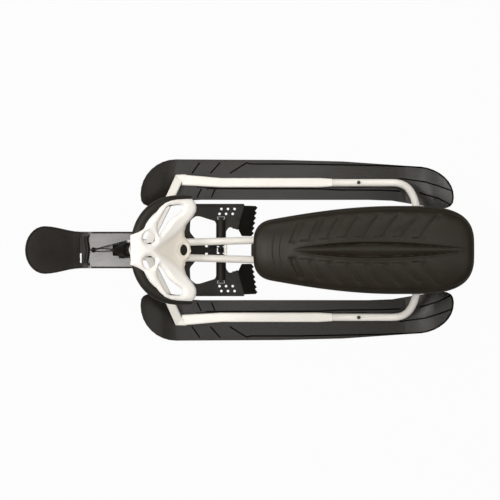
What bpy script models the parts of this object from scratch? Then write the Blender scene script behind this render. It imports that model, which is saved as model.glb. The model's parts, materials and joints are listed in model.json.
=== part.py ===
"""Steering sled: one steered front ski, two wide rear skis, a tube frame, a brake and a padded seat.

Units are metres and +Z is up. The sled points along -X, its left side is -Y, and it stands on the
keels of its skis at Z = 0. The origin is under the middle of its length.
Pieces of the steering are modelled in the frame of the steering axis, whose local Z runs up the
column and whose local X points back to the rider.
"""
import math

import bmesh
import bpy
from mathutils import Matrix, Vector

# Fit of one piece to the next
GAP = 0.0003
BOLT_CLEARANCE = 0.0003

# Whole sled
SLED_LENGTH = 1.165
SKI_END_INSET = 0.020
FRONT_X = -SLED_LENGTH / 2
REAR_X = SLED_LENGTH / 2
PIVOT_SETBACK = 0.2541
PIVOT_X = FRONT_X + PIVOT_SETBACK

# Ski section: keels, floor and the lip that runs round the edge
KEEL_HEIGHT = 0.005
KEEL_WIDTH = 0.008
SKI_THICKNESS = 0.004
SKI_LIP = 0.0025
SKI_LIP_WIDTH = 0.004
SKI_GROOVE_WIDTH = 0.0034
SKI_GROOVE_DEPTH = 0.0018
SKI_FLOOR_Z = KEEL_HEIGHT + SKI_THICKNESS

# Rear skis, each drawn from its own front end and from the middle of its width
REAR_SKI_LENGTH = 0.839
REAR_SKI_WIDTH = 0.109
REAR_SKI_CENTRE_Y = 0.1905
REAR_SKI_FRONT_BEND = 0.115
REAR_SKI_FRONT_LIFT = 0.034
REAR_SKI_REAR_BEND = 0.150
REAR_SKI_REAR_LIFT = 0.038
REAR_SKI_FRONT_ARC = (0.094, 0.097)
REAR_SKI_REAR_ARC = (0.100, 0.083)
REAR_SKI_TAPER = 0.019
REAR_SKI_KEEL_Y = 0.028
REAR_SKI_TAIL_FLARE = 0.026
REAR_SKI_TAIL_FLARE_LENGTH = 0.199
REAR_SKI_FRONT_FLARE = 0.021
REAR_SKI_FRONT_FLARE_LENGTH = 0.135
REAR_SKI_INNER_BOW = 0.0006
REAR_SKI_OUTER_GROOVES = ((0.157, 0.020), (0.212, 0.025), (0.284, 0.044))
REAR_SKI_INNER_GROOVES = ((0.161, 0.010), (0.199, 0.009))
REAR_SKI_SWEEPS = ((0.004, -0.030, 0.135), (-0.038, -0.061, 0.085))
REAR_SKI_SWEEP_END = 0.012
REAR_SKI_GROOVE_EDGE = 0.0095
REAR_SKI_GROOVE_FOOT = 0.037
REAR_SKI_INNER_GROOVE_YS = (0.028, 0.007)
REAR_SKI_CREASE_GAP = 0.006
REAR_SKI_CREASE = ((0.50, 0.0125), (0.65, 0.0165), (0.80, 0.0260))
REAR_SKI_CREASE_INSET = 0.0105
REAR_SKI_INNER_CORNER = 0.032
REAR_SKI_END_FLAT = 0.004
REAR_SKI_X = REAR_X - SKI_END_INSET - REAR_SKI_LENGTH

# Front ski
FRONT_SKI_LENGTH = 0.2985
FRONT_SKI_HALF_WIDTH = 0.0495
FRONT_SKI_PADDLE_HALF_WIDTH = 0.064
FRONT_SKI_PADDLE_X = 0.050
FRONT_SKI_SHOULDER_X = 0.142
FRONT_SKI_BEND = 0.168
FRONT_SKI_TIP_LIFT = 0.055
FRONT_SKI_CORNER = 0.014
FRONT_SKI_SLOT_X = 0.1450
FRONT_SKI_SLOT_WIDTH = 0.0095
FRONT_SKI_SLOT_LENGTH = 0.070
FRONT_SKI_KEEL_Y = 0.026

# Frame tubes
SIDE_RAIL_Y = 0.1806
SIDE_RAIL_Z = 0.036
SIDE_RAIL_WIDTH = 0.0252
SIDE_RAIL_FRONT_WIDTH = 0.0295
SIDE_RAIL_FRONT_SPLAY = 0.009
SIDE_RAIL_HEIGHT = 0.016
SIDE_RAIL_CORNER = 0.0055
SIDE_RAIL_FRONT_SETBACK = 0.12745
SIDE_RAIL_FRONT_X = (REAR_SKI_X + PIVOT_X) / 2 + SIDE_RAIL_FRONT_SETBACK
SIDE_RAIL_JOINT_SETBACK = 0.015
SIDE_RAIL_JOINT_X = SIDE_RAIL_FRONT_X + SIDE_RAIL_JOINT_SETBACK
SIDE_RAIL_TAPER_LENGTH = 0.100
SIDE_RAIL_REAR_INSET = 0.3455
SIDE_RAIL_REAR_WIDTH = 0.0212
SIDE_RAIL_REAR_TAPER = 0.034
SIDE_RAIL_REAR_X = REAR_X - SIDE_RAIL_REAR_INSET
JOINT_SIGHT = 0.0061
STRUT_WIDTH = 0.0235
STRUT_HEAD_Z = 0.177
TUBE_RADIUS = 0.010
HOOP_PLUG_RADIUS = 0.0062
HOOP_PLUG_LENGTH = 0.028
HOOP_INSET = 0.1295
HOOP_X = REAR_X - HOOP_INSET
HOOP_BEND_LENGTH = 0.057
HOOP_BEND_REACH = 0.045
HOOP_BEND_Y = 0.160
HOOP_BEND_Z = 0.120
CENTRE_RAIL_RADIUS = 0.0095
CENTRE_RAIL_FRONT_Y = 0.0168
CENTRE_RAIL_REAR_Y = 0.037
CENTRE_RAIL_HEAD_Z = 0.133
CENTRE_RAIL_BEND_X = -0.010
CENTRE_RAIL_BEND_Z = 0.136
CENTRE_RAIL_TOP_X = 0.085
CENTRE_RAIL_TOP_Z = 0.200
CENTRE_RAIL_BEND_REACH = 0.030
CROSS_BAR_RADIUS = 0.004
CROSS_BAR_BACK = 0.013

# Saddles between the skis and the frame, each behind or before a ski's bend
SADDLE_LENGTH = 0.046
SADDLE_WIDTH = 0.0240
SADDLE_TAPER = 0.78
SADDLE_SETBACKS = (0.0565, 0.1045)
FRONT_SADDLE_X = REAR_SKI_X + REAR_SKI_FRONT_BEND + SADDLE_SETBACKS[0]
REAR_SADDLE_X = REAR_X - SKI_END_INSET - REAR_SKI_REAR_BEND - SADDLE_SETBACKS[1]
SKI_SCREW_RADIUS = 0.0028
SKI_SCREW_HEAD_RADIUS = 0.0048
SKI_SCREW_HEAD_HEIGHT = 0.0030
SKI_SCREW_BITE = 0.010

# Steering axis, which leans back from the pivot bolt of the front ski, at PIVOT_X, to the hub
CASTER = math.radians(31.6)
PIVOT_Z = 0.050
COLUMN_RADIUS = 0.011
COLUMN_FOOT = 0.018
HUB_HEIGHT = 0.3464
HEAD_TUBE_RADIUS = 0.019
HEAD_TUBE_WALL = 0.0035
HEAD_TUBE_FOOT = 0.084
HEAD_TUBE_LENGTH = 0.084
BUSH_FLANGE = 0.003
BUSH_LENGTH = 0.022
COLLAR_RADIUS = 0.017
COLLAR_HEIGHT = 0.010

# Steering fork and its pivot on the front ski
FORK_SOCKET_RADIUS = 0.018
FORK_SOCKET_FOOT = 0.0130
FORK_SOCKET_TOP = 0.038
FORK_TONGUE_RADIUS = 0.014
FORK_TONGUE_WIDTH = 0.022
FORK_NOSE_REACH = 0.030
FORK_NOSE_HEIGHT = 0.022
FORK_NOSE_DEPTH = 0.012
FORK_NOSE_WIDTHS = (0.026, 0.010)
PIVOT_BOLT_RADIUS = 0.004
HEX_RADIUS = 0.0068
HEX_HEIGHT = 0.0045
BRACKET_LENGTH = 0.064
BRACKET_FOOT_WIDTH = 0.044
BRACKET_THICKNESS = 0.004
BRACKET_CHEEK = 0.004
BRACKET_EYE_RADIUS = 0.0115

# Steering wheel, in its own plane: u runs forward and v sideways from the hub
RIM_RADIUS = 0.0125
RIM_CENTRE_U = 0.003
RIM_REACH = (0.132, 0.1235)
RIM_POWER = 2.4
RIM_TAIL_U = -0.016
SPIDER_THICKNESS = 0.005
SPIDER_DISH = 0.0185
SPIDER_DISH_RADIUS = 0.105
SPIDER_FRONT_U = 0.1545
SPIDER_LIP_U = 0.112
SPIDER_LIP_DROP = 0.007
SPIDER_GRID = 0.0272
SPIDER_HALF_OUTLINE = [(0.1545, 0.0), (0.1545, 0.0355), (0.1370, 0.0425), (0.1195, 0.0510), (0.1062, 0.0704),
                       (0.0971, 0.0808), (0.0855, 0.0903), (0.0738, 0.1042), (0.0607, 0.1145),
                       (0.0436, 0.1212), (0.0265, 0.1240), (0.0013, 0.1257), (-0.0135, 0.1262),
                       (-0.0227, 0.1192), (-0.0267, 0.1068), (-0.0255, 0.0951), (-0.0195, 0.0845),
                       (-0.0103, 0.0728), (-0.0027, 0.0600), (-0.0003, 0.0448), (-0.0030, 0.0332),
                       (-0.0110, 0.0250), (-0.0185, 0.0160), (-0.0205, 0.0)]
SPIDER_ARM_WINDOW = [(0.0792, 0.0412), (0.0816, 0.0500), (0.0814, 0.0626), (0.0751, 0.0742), (0.0607, 0.0985),
                     (0.0541, 0.1068), (0.0460, 0.1104), (0.0200, 0.1118), (0.0108, 0.1096), (0.0098, 0.1040),
                     (0.0125, 0.0965), (0.0234, 0.0881), (0.0364, 0.0804), (0.0467, 0.0722), (0.0530, 0.0640),
                     (0.0593, 0.0536), (0.0755, 0.0365)]
SPIDER_EYE_WINDOW = [(0.1235, 0.0265), (0.1205, 0.0385), (0.1150, 0.0448), (0.1075, 0.0462), (0.0990, 0.0435),
                     (0.0890, 0.0368), (0.0866, 0.0290), (0.0885, 0.0212), (0.1000, 0.0143), (0.1125, 0.0151),
                     (0.1205, 0.0205)]
RIM_SEAT_DEPTH = 0.0015
HUB_BOSS_RADIUS = 0.0175
HUB_BOSS_DEPTH = 0.036
HUB_CAP_AXES = (0.0106, 0.0140)
HUB_CAP_THICKNESS = 0.004
HUB_CAP_SEAT = 0.003
HUB_BOLT_RADIUS = 0.004
HUB_BOLT_HEAD = (0.0075, 0.005)
HUB_BOLT_SEAT = 0.012
HUB_BOLT_LENGTH = 0.022
HUB_COLUMN_INSET = 0.018

# Tow line, its reel beside the fork and its handle on the front ski
REEL_BACK = 0.046
REEL_HEIGHT = 0.035
REEL_SIDE = 0.018
REEL_RADIUS = 0.026
REEL_WIDTH = 0.020
REEL_WALL = 0.002
REEL_LUG_THICKNESS = 0.006
REEL_LUG_RADIUS = 0.010
REEL_LUG_Y = (REEL_SIDE - REEL_WIDTH / 2 - GAP - REEL_LUG_THICKNESS, REEL_SIDE - REEL_WIDTH / 2 - GAP)
REEL_PIN_RADIUS = 0.003
DRUM_CORE_RADIUS = 0.0125
DRUM_FLANGE = 0.0015
SPOUT_RADIUS = 0.0034
SPOUT_TIP_X = -0.004
SPOUT_HEIGHT = 0.0475
SPOUT_Y = 0.0232
CORD_RADIUS = 0.0014
CORD_BORE = 0.0019
HANDLE_SETBACK = 0.1597
HANDLE_X = FRONT_X + HANDLE_SETBACK
HANDLE_BAR_RADIUS = 0.0055
HANDLE_BAR_LENGTH = 0.070
HANDLE_STEM_LENGTH = 0.0075
HANDLE_STEM_RADIUS = 0.0034
HANDLE_STOP_THICKNESS = 0.005
HANDLE_Z = SKI_FLOOR_Z + HANDLE_BAR_RADIUS + 0.0022
GUIDE_SETBACK = 0.1765
GUIDE_X = FRONT_X + GUIDE_SETBACK
GUIDE_NECK_RADIUS = 0.0026
GUIDE_EYE_RADII = (0.0052, 0.0020)
GUIDE_FOOT_RADIUS = 0.007
GUIDE_FOOT_HEIGHT = 0.0027
GUIDE_NECK_HEIGHT = 0.0034
GUIDE_EYE_Z = SKI_FLOOR_Z + GUIDE_FOOT_HEIGHT + GUIDE_NECK_HEIGHT + sum(GUIDE_EYE_RADII)
RETURN_CORD_RADIUS = 0.0013
RETURN_CORD_SPREAD = 0.0022

# Brake
BRAKE_PIVOT_X = -0.060
BRAKE_PIVOT_Z = 0.076
BRAKE_HALF_WIDTH = 0.1215
BRAKE_FRONT = -0.098
BRAKE_THICKNESS = 0.004
BRAKE_BASE = 0.0004
BRAKE_TOP = BRAKE_BASE + BRAKE_THICKNESS
BRAKE_CORNER = 0.016
BRAKE_FOLD_OUTER_X = 0.0624
BRAKE_FOLD_INNER = (0.044, 0.053)
BRAKE_NOTCH = [(0.0350, 0.0572), (0.0222, 0.0612), (0.0133, 0.0500)]
BRAKE_NOTCH_ROUND = 0.0045
BRAKE_NOTCH_X = 0.0133
BRAKE_NOTCH_RIM = 0.003
BRAKE_WINDOW = [(-0.0590, 0.0190), (-0.0829, 0.0475), (-0.0815, 0.0790), (-0.0675, 0.0895),
                (-0.0574, 0.0895), (-0.0168, 0.0768), (-0.0130, 0.0704), (-0.0130, 0.0190)]
BRAKE_WAIST = [(-0.0425, 0.0075), (-0.0292, 0.0075), (-0.0292, 0.0155), (-0.0425, 0.0155)]
BRAKE_BARREL_RADIUS = 0.0125
BRAKE_BARREL_HALF = 0.082
BRAKE_ROD_RADIUS = 0.005
BRAKE_HOLE_RADIUS = 0.0034
BRAKE_HOLE_ROWS = ((0.109, 0.001), (0.096, -0.004))
BRAKE_HOLE_PITCH = 0.0175
BRAKE_LIP_HEIGHT = 0.007
BRAKE_LIP_WIDTH = 0.003
BRAKE_LIP_WRAP = 0.001
HANGER_THICKNESS = 0.004
HANGER_EYE_RADIUS = 0.0105
HANGER_TOP_LENGTH = 0.052
STOP_PIN_RADIUS = 0.0035
STOP_PIN_FORWARD = 0.032
STOP_LUG_RADIUS = 0.0075
ROD_CAP_RADIUS = 0.009
ROD_CAP_THICKNESS = 0.005
ROD_CAP_Y = BRAKE_BARREL_HALF + 2 * GAP
CLAW_THICKNESS = 0.004
CLAW_FLANGE = 0.015
CLAW_REACH = 0.036
CLAW_SLOPE = 1.2
CLAW_TEETH = 6
CLAW_TOOTH_DEPTH = 0.005
CLAW_INNER_REACH = 0.0098
CLAW_INNER_Y = 0.037
CLAW_BOLT_RADIUS = 0.003
CLAW_BOLT_PLACE = (0.046, 0.082)
CLAW_BOLT_HEAD = (0.0055, 0.003)
SPRING_RADIUS = 0.0082
SPRING_WIRE = 0.0012
SPRING_TURNS = 4
SPRING_PITCH = 0.0032
SPRING_POCKET = 0.0105

# Seat
SEAT_LENGTH = 0.5570
SEAT_END_TRIM = 0.0025
SEAT_HALF_WIDTH = 0.111
SEAT_NOSE_SHARE = 0.62
SEAT_BOTTOM_SIDE = 0.026
SEAT_HEIGHT = 0.062
SEAT_NOSE_HEIGHT = 0.046
SEAT_TAIL_KICK = 0.010
SEAT_CROWN = 0.012
SEAT_CHANNELS = 8
SEAT_CHANNEL_FIRST = 0.097
SEAT_CHANNEL_PITCH = 0.0466
SEAT_CHANNEL_LEANS = (0.013, 0.038)
SEAT_CHANNEL_WIDTH = 0.010
SEAT_CHANNEL_DEPTH = 0.0025
SEAT_SPINE_HALF = 0.022
SEAT_SPINE_DEPTH = 0.0045
SEAT_SPINE_START = 0.095
SEAT_SPINE_END = 0.010
SEAT_NOSE_ROUND = 0.045
SEAT_TAIL_ROUND = 0.040
SEAT_ROWS = ((0.0, 0.0), (0.10, 1.0), (0.45, 1.0), (0.74, 1.0), (0.93, 0.0))
PAN_THICKNESS = 0.004
PAN_INSET = 0.012
PAN_TAB = (0.008, 0.0165)
PAN_RIB_Y = 0.058
PAN_RIB_DEPTH = 0.008
PAN_RIB_WIDTH = 0.004
PAN_RIB_SPAN = (0.2, 0.72)
STRAP_THICKNESS = 0.003
STRAP_WIDTH = 0.026
STRAP_OVERHANG = 0.007
STRAP_SETBACKS = (0.107, 0.347)
STRAP_XS = tuple(REAR_X + SEAT_END_TRIM - SEAT_LENGTH + setback for setback in STRAP_SETBACKS)
SEAT_BOLT_RADIUS = 0.003
SEAT_BOLT_HEAD = (0.006, 0.004)

# Colours are sRGB, then roughness and metallic
FINISHES = {
    "white_paint": ((0.93, 0.92, 0.88), 0.35, 0.0),
    "white_moulding": ((0.92, 0.90, 0.86), 0.40, 0.0),
    "black_ski_plastic": ((0.12, 0.115, 0.105), 0.38, 0.0),
    "black_moulding": ((0.09, 0.088, 0.08), 0.50, 0.0),
    "black_steel": ((0.08, 0.078, 0.07), 0.45, 0.0),
    "soft_black_grip": ((0.10, 0.10, 0.095), 0.65, 0.0),
    "black_seat_skin": ((0.15, 0.135, 0.12), 0.55, 0.0),
    "zinc_steel": ((0.62, 0.62, 0.60), 0.35, 1.0),
    "black_cord": ((0.04, 0.04, 0.04), 0.85, 0.0),
}


def linear(channel):
    """Turn one sRGB channel to the linear value that a shader takes."""
    return channel / 12.92 if channel <= 0.04045 else ((channel + 0.055) / 1.055) ** 2.4


def make_material(name):
    """One Principled material in a finish of the table above."""
    colour, roughness, metallic = FINISHES[name]
    material = bpy.data.materials.new(name)
    material.use_nodes = True
    shader = material.node_tree.nodes["Principled BSDF"]
    shader.inputs["Base Color"].default_value = [linear(c) for c in colour] + [1.0]
    shader.inputs["Roughness"].default_value = roughness
    shader.inputs["Metallic"].default_value = metallic
    material.diffuse_color = [linear(c) for c in colour] + [1.0]
    return material


for old in list(bpy.data.objects):
    bpy.data.objects.remove(old)

parts = bpy.data.collections.new("steering_sled")
cutters = bpy.data.collections.new("cutters")
bpy.context.scene.collection.children.link(parts)
bpy.context.scene.collection.children.link(cutters)
MATERIALS = {name: make_material(name) for name in FINISHES}


# Making, joining and cutting solids

def add_object(name, data, finish=None, parent=None):
    """Link an object to the sled, or to the cutters when it has no finish."""
    obj = bpy.data.objects.new(name, data)
    obj.parent = parent
    if finish is None:
        cutters.objects.link(obj)
        obj.display_type = "WIRE"
        obj.hide_render = True
        return obj
    parts.objects.link(obj)
    data.materials.clear()
    data.materials.append(MATERIALS[finish])
    return obj


def mesh_object(name, bm, finish=None, parent=None, smooth=math.radians(35)):
    """Turn a bmesh into an object, smooth where its faces meet gently."""
    mesh = bpy.data.meshes.new(name)
    bm.to_mesh(mesh)
    bm.free()
    mesh.shade_smooth()
    mesh.set_sharp_from_angle(angle=smooth)
    return add_object(name, mesh, finish, parent)


def evaluated_mesh(obj):
    """The object's mesh with its modifiers, in its own space and with welded caps."""
    bpy.context.view_layer.update()
    depsgraph = bpy.context.evaluated_depsgraph_get()
    mesh = bpy.data.meshes.new_from_object(obj.evaluated_get(depsgraph), depsgraph=depsgraph)
    bm = bmesh.new()
    bm.from_mesh(mesh)
    bmesh.ops.remove_doubles(bm, verts=bm.verts, dist=1e-6)
    bmesh.ops.recalc_face_normals(bm, faces=bm.faces)
    bm.to_mesh(mesh)
    bm.free()
    return mesh


def as_mesh(obj):
    """Replace a curve, or an object with modifiers, with a plain mesh of the same name."""
    name, parent, basis = obj.name, obj.parent, obj.matrix_basis.copy()
    mesh = evaluated_mesh(obj)
    material = mesh.materials[0].name if mesh.materials else None
    bpy.data.objects.remove(obj)
    mesh.name = name
    plain = add_object(name, mesh, material, parent)
    plain.matrix_basis = basis
    mesh.shade_smooth()
    mesh.set_sharp_from_angle(angle=math.radians(35))
    return plain


def boolean(obj, other, operation):
    """Add an exact Boolean modifier, and put the other operand among the cutters."""
    modifier = obj.modifiers.new(f"{operation.lower()}_{other.name}", "BOOLEAN")
    modifier.operation = operation
    modifier.solver = "EXACT"
    modifier.object = other
    if other.name in parts.objects and operation == "UNION":
        parts.objects.unlink(other)
        cutters.objects.link(other)
        other.display_type = "WIRE"
        other.hide_render = True


def cut(obj, *tools):
    """Take each tool's shape out of an object."""
    for tool in tools:
        boolean(obj, tool, "DIFFERENCE")


def fuse(obj, *pieces):
    """Weld each piece to an object, as one body."""
    for piece in pieces:
        boolean(obj, piece, "UNION")


def cylinder(name, radius, start, end, finish=None, parent=None, segments=24):
    """A round bar from one point to another."""
    start, end = Vector(start), Vector(end)
    axis = end - start
    bm = bmesh.new()
    bmesh.ops.create_cone(bm, cap_ends=True, segments=segments, radius1=radius, radius2=radius,
                          depth=axis.length)
    turn = Vector((0, 0, 1)).rotation_difference(axis).to_matrix().to_4x4()
    bmesh.ops.transform(bm, matrix=Matrix.Translation((start + end) / 2) @ turn, verts=bm.verts)
    return mesh_object(name, bm, finish, parent)


def box(name, low, high, finish=None, parent=None, taper=1.0):
    """A block between two corners, whose top is drawn in by a share."""
    low, high = Vector(low), Vector(high)
    middle = (low + high) / 2
    bm = bmesh.new()
    bmesh.ops.create_cube(bm, size=1.0)
    for vert in bm.verts:
        share = taper if vert.co.z > 0 else 1.0
        spot = Vector(vert.co[i] * (high[i] - low[i]) for i in range(3))
        vert.co = middle + Vector((spot.x * share, spot.y * share, spot.z))
    return mesh_object(name, bm, finish, parent)


def turned(name, profile, finish=None, parent=None, segments=24, closed=True):
    """Turn a profile of (radius, height) points about local Z; its outer side runs downwards."""
    mesh = bpy.data.meshes.new(name)
    count = len(profile)
    edges = [(i, i + 1) for i in range(count - 1)]
    if closed:
        edges.append((count - 1, 0))
    mesh.from_pydata([(radius, 0.0, height) for radius, height in profile], edges, [])
    obj = add_object(name, mesh, finish, parent)
    screw = obj.modifiers.new("turn", "SCREW")
    screw.axis = "Z"
    screw.angle = math.tau
    screw.steps = screw.render_steps = segments
    screw.use_merge_vertices = True
    screw.merge_threshold = 1e-6
    screw.use_smooth_shade = True
    plain = as_mesh(obj)
    return plain


def ring_profile(inner, outer, bottom, top):
    """The profile of a plain tube."""
    return [(outer, top), (outer, bottom), (inner, bottom), (inner, top)]


def tube(name, points, radius, finish=None, parent=None, sides=2, radii=None, cyclic=False):
    """A round tube along a path, as a plain mesh with closed ends."""
    curve = bpy.data.curves.new(name, "CURVE")
    curve.dimensions = "3D"
    curve.bevel_depth = radius
    curve.bevel_resolution = sides
    curve.use_fill_caps = not cyclic
    spline = curve.splines.new("POLY")
    spline.points.add(len(points) - 1)
    spline.use_cyclic_u = cyclic
    for index, (spot, point) in enumerate(zip(points, spline.points)):
        point.co = (*spot, 1.0)
        point.radius = radii[index] if radii else 1.0
    return as_mesh(add_object(name, curve, finish, parent))


def plate(name, outlines, bottom, top, finish=None, parent=None):
    """A flat plate with the first outline as its edge and the others as its holes."""
    curve = bpy.data.curves.new(name, "CURVE")
    curve.dimensions = "2D"
    curve.fill_mode = "BOTH"
    curve.extrude = (top - bottom) / 2
    for outline in outlines:
        spline = curve.splines.new("POLY")
        spline.points.add(len(outline) - 1)
        spline.use_cyclic_u = True
        for spot, point in zip(outline, spline.points):
            point.co = (spot[0], spot[1], 0.0, 1.0)
    plain = as_mesh(add_object(name, curve, finish, parent))
    plain.data.transform(Matrix.Translation((0, 0, (top + bottom) / 2)))
    return plain


def reshape(obj, move, cuts=()):
    """Cut an object's faces along planes, then move every vertex by a function."""
    if obj.modifiers:
        obj = as_mesh(obj)
    bm = bmesh.new()
    bm.from_mesh(obj.data)
    for point, normal in cuts:
        bmesh.ops.bisect_plane(bm, geom=bm.verts[:] + bm.edges[:] + bm.faces[:], dist=1e-7,
                               plane_co=point, plane_no=normal)
    for vert in bm.verts:
        vert.co = move(vert.co)
    bm.normal_update()
    bm.to_mesh(obj.data)
    bm.free()
    return obj


def trim(obj, point, normal):
    """Cut off what lies beyond a plane, and close the cut."""
    bm = bmesh.new()
    bm.from_mesh(obj.data)
    bmesh.ops.bisect_plane(bm, geom=bm.verts[:] + bm.edges[:] + bm.faces[:], dist=1e-7,
                           plane_co=point, plane_no=normal, clear_outer=True)
    bmesh.ops.holes_fill(bm, edges=[edge for edge in bm.edges if edge.is_boundary])
    bm.to_mesh(obj.data)
    bm.free()
    return obj


def mirrored(obj, name):
    """The same piece on the other side of the sled."""
    mesh = evaluated_mesh(obj)
    bm = bmesh.new()
    bm.from_mesh(mesh)
    frame = obj.parent.matrix_world if obj.parent else Matrix.Identity(4)
    bmesh.ops.transform(bm, matrix=frame @ obj.matrix_basis, verts=bm.verts)
    bmesh.ops.scale(bm, vec=(1, -1, 1), verts=bm.verts)
    bmesh.ops.transform(bm, matrix=frame.inverted(), verts=bm.verts)
    bmesh.ops.reverse_faces(bm, faces=bm.faces)
    return mesh_object(name, bm, obj.data.materials[0].name, obj.parent)


# Outlines and paths

def arc(centre, radii, start, end, steps):
    """Points on an elliptical arc, angles in degrees from +X."""
    angles = [math.radians(start + (end - start) * i / steps) for i in range(steps + 1)]
    return [(centre[0] + radii[0] * math.cos(a), centre[1] + radii[1] * math.sin(a)) for a in angles]


def circle(centre, radius, phase, steps=12):
    """Points on a circle, the first at an angle in degrees; holes in a row each take their own."""
    return arc(centre, (radius, radius), phase, phase + 360 * (steps - 1) / steps, steps - 1)


def rounded(points, radius, steps=3):
    """A polygon whose corners are drawn round, by up to a third of the sides that meet there."""
    result = []
    for index, point in enumerate(points):
        corner = Vector(point)
        before = Vector(points[index - 1]) - corner
        after = Vector(points[(index + 1) % len(points)]) - corner
        reach = min(radius, before.length / 3, after.length / 3)
        first, last = corner + before.normalized() * reach, corner + after.normalized() * reach
        for step in range(steps + 1):
            share = step / steps
            spot = first * (1 - share) ** 2 + corner * 2 * share * (1 - share) + last * share ** 2
            result.append(tuple(spot))
    return result


def both_sides(half):
    """Close an outline whose points run along the +Y side, from end to end."""
    return half + [(x, -y) for x, y in reversed(half) if y > 1e-9]


def offset_inward(outline, distance):
    """An outline drawn in by a distance, corner by corner."""
    area = sum(a[0] * b[1] - b[0] * a[1] for a, b in zip(outline, outline[1:] + outline[:1]))
    turn = 1 if area > 0 else -1
    result = []
    for index, point in enumerate(outline):
        before = (Vector(point) - Vector(outline[index - 1])).normalized()
        after = (Vector(outline[(index + 1) % len(outline)]) - Vector(point)).normalized()
        inward = (before + after).normalized().orthogonal() * turn
        reach = distance / max(0.5, inward.dot(before.orthogonal() * turn))
        result.append(tuple(Vector(point) + inward * reach))
    return result


def ribbon(points, width):
    """The outline of a narrow band along a path."""
    sides = ([], [])
    for index, point in enumerate(points):
        here = Vector(point)
        ahead = Vector(points[min(index + 1, len(points) - 1)])
        behind = Vector(points[max(index - 1, 0)])
        across = (ahead - behind).normalized().orthogonal() * width / 2
        sides[0].append(tuple(here + across))
        sides[1].append(tuple(here - across))
    return sides[0] + sides[1][::-1]


def smooth_path(points, steps):
    """A smooth curve through points, in even steps between each two."""
    spots = [Vector(point) for point in points]
    spots = [2 * spots[0] - spots[1]] + spots + [2 * spots[-1] - spots[-2]]
    result = []
    for p0, p1, p2, p3 in zip(spots, spots[1:], spots[2:], spots[3:]):
        for step in range(steps):
            t = step / steps
            result.append(0.5 * (2 * p1 + (p2 - p0) * t + (2 * p0 - 5 * p1 + 4 * p2 - p3) * t * t
                                 + (3 * p1 - p0 - 3 * p2 + p3) * t ** 3))
    return result + [spots[-2]]


def loft(name, rings, finish):
    """A closed skin over rings that have as many points each, with flat ends."""
    bm = bmesh.new()
    loops = [[bm.verts.new(spot) for spot in ring] for ring in rings]
    for first, second in zip(loops, loops[1:]):
        for index in range(len(first)):
            bm.faces.new((first[index - 1], first[index], second[index], second[index - 1]))
    bm.faces.new(loops[0])
    bm.faces.new(loops[-1][::-1])
    bmesh.ops.recalc_face_normals(bm, faces=bm.faces)
    return mesh_object(name, bm, finish)


def bar(name, path, widths, finish, height=SIDE_RAIL_HEIGHT, corner=SIDE_RAIL_CORNER):
    """A tube of rounded rectangular section along a path, mitred where the path turns."""
    path = [Vector(point) for point in path]
    rings = []
    for index, point in enumerate(path):
        along = (point - path[index - 1] if index else path[1] - point).normalized()
        onward = (path[index + 1] - point if index + 1 < len(path) else along).normalized()
        side = Vector((0, 0, 1)).cross(along).normalized()
        upward = along.cross(side)
        joint = (along + onward).normalized()
        half_w, half_h = widths[index] / 2, height / 2
        corners = [(half_w, half_h), (-half_w, half_h), (-half_w, -half_h), (half_w, -half_h)]
        ring = [point + side * a + upward * b for a, b in rounded(corners, corner, 3)]
        rings.append([spot - along * ((spot - point).dot(joint) / along.dot(joint)) for spot in ring])
    return loft(name, rings, finish)


def side_plate(name, outlines, low_y, high_y, finish=None, parent=None):
    """A plate that stands along the sled: its outlines hold (x, z) points."""
    plain = plate(name, outlines, -high_y, -low_y, finish, parent)
    plain.data.transform(Matrix.Rotation(math.pi / 2, 4, "X"))
    return plain


def ease(share):
    """A smooth step from 0 to 1."""
    share = min(1.0, max(0.0, share))
    return share * share * (3 - 2 * share)


def blend_curve(start, control, end, steps):
    """A quadratic curve between two points, without its last point."""
    start, control, end = Vector(start), Vector(control), Vector(end)
    return [tuple(start * (1 - t) ** 2 + control * 2 * t * (1 - t) + end * t * t)
            for t in (step / steps for step in range(steps))]


def filleted(points, reach, steps=5):
    """A path whose corners are bent round over a reach on either side."""
    spots = [Vector(point) for point in points]
    result = [spots[0]]
    for before, corner, after in zip(spots, spots[1:], spots[2:]):
        first = corner + (before - corner).normalized() * reach
        last = corner + (after - corner).normalized() * reach
        result += [Vector(spot) for spot in blend_curve(first, corner, last, steps)] + [last]
    return result + [spots[-1]]


def empty(name, matrix):
    """A frame for the pieces that turn about one axis."""
    frame = bpy.data.objects.new(name, None)
    frame.empty_display_size = 0.05
    frame.matrix_basis = matrix
    parts.objects.link(frame)
    bpy.context.view_layer.update()
    return frame


def hang(obj, frame):
    """Give a finished piece its frame as parent, where it stands."""
    obj.parent = frame
    obj.matrix_basis = frame.matrix_world.inverted() @ obj.matrix_basis
    return obj


steering_axis = empty("steering_axis", Matrix.Translation((PIVOT_X, 0, PIVOT_Z))
                      @ Matrix.Rotation(CASTER, 4, "Y"))
ski_axis = empty("ski_axis", Matrix.Translation((PIVOT_X, 0, PIVOT_Z)))
brake_axis = empty("brake_axis", Matrix.Translation((BRAKE_PIVOT_X, 0, BRAKE_PIVOT_Z)))


# Skis

def lift_stations(length, bend, lift, power, steps=6):
    """How far the floor of a ski rises from its bend to its end, at even stations."""
    return [(bend * (1 - step / steps), lift * (step / steps) ** power) for step in range(steps + 1)]


def lift_at(distance, stations):
    """The rise at a distance from the ski's end, straight between stations."""
    for (near, low), (far, high) in zip(stations, stations[1:]):
        if distance >= near:
            return low
        if distance >= far:
            return low + (high - low) * (near - distance) / (near - far)
    return stations[-1][1]


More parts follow.
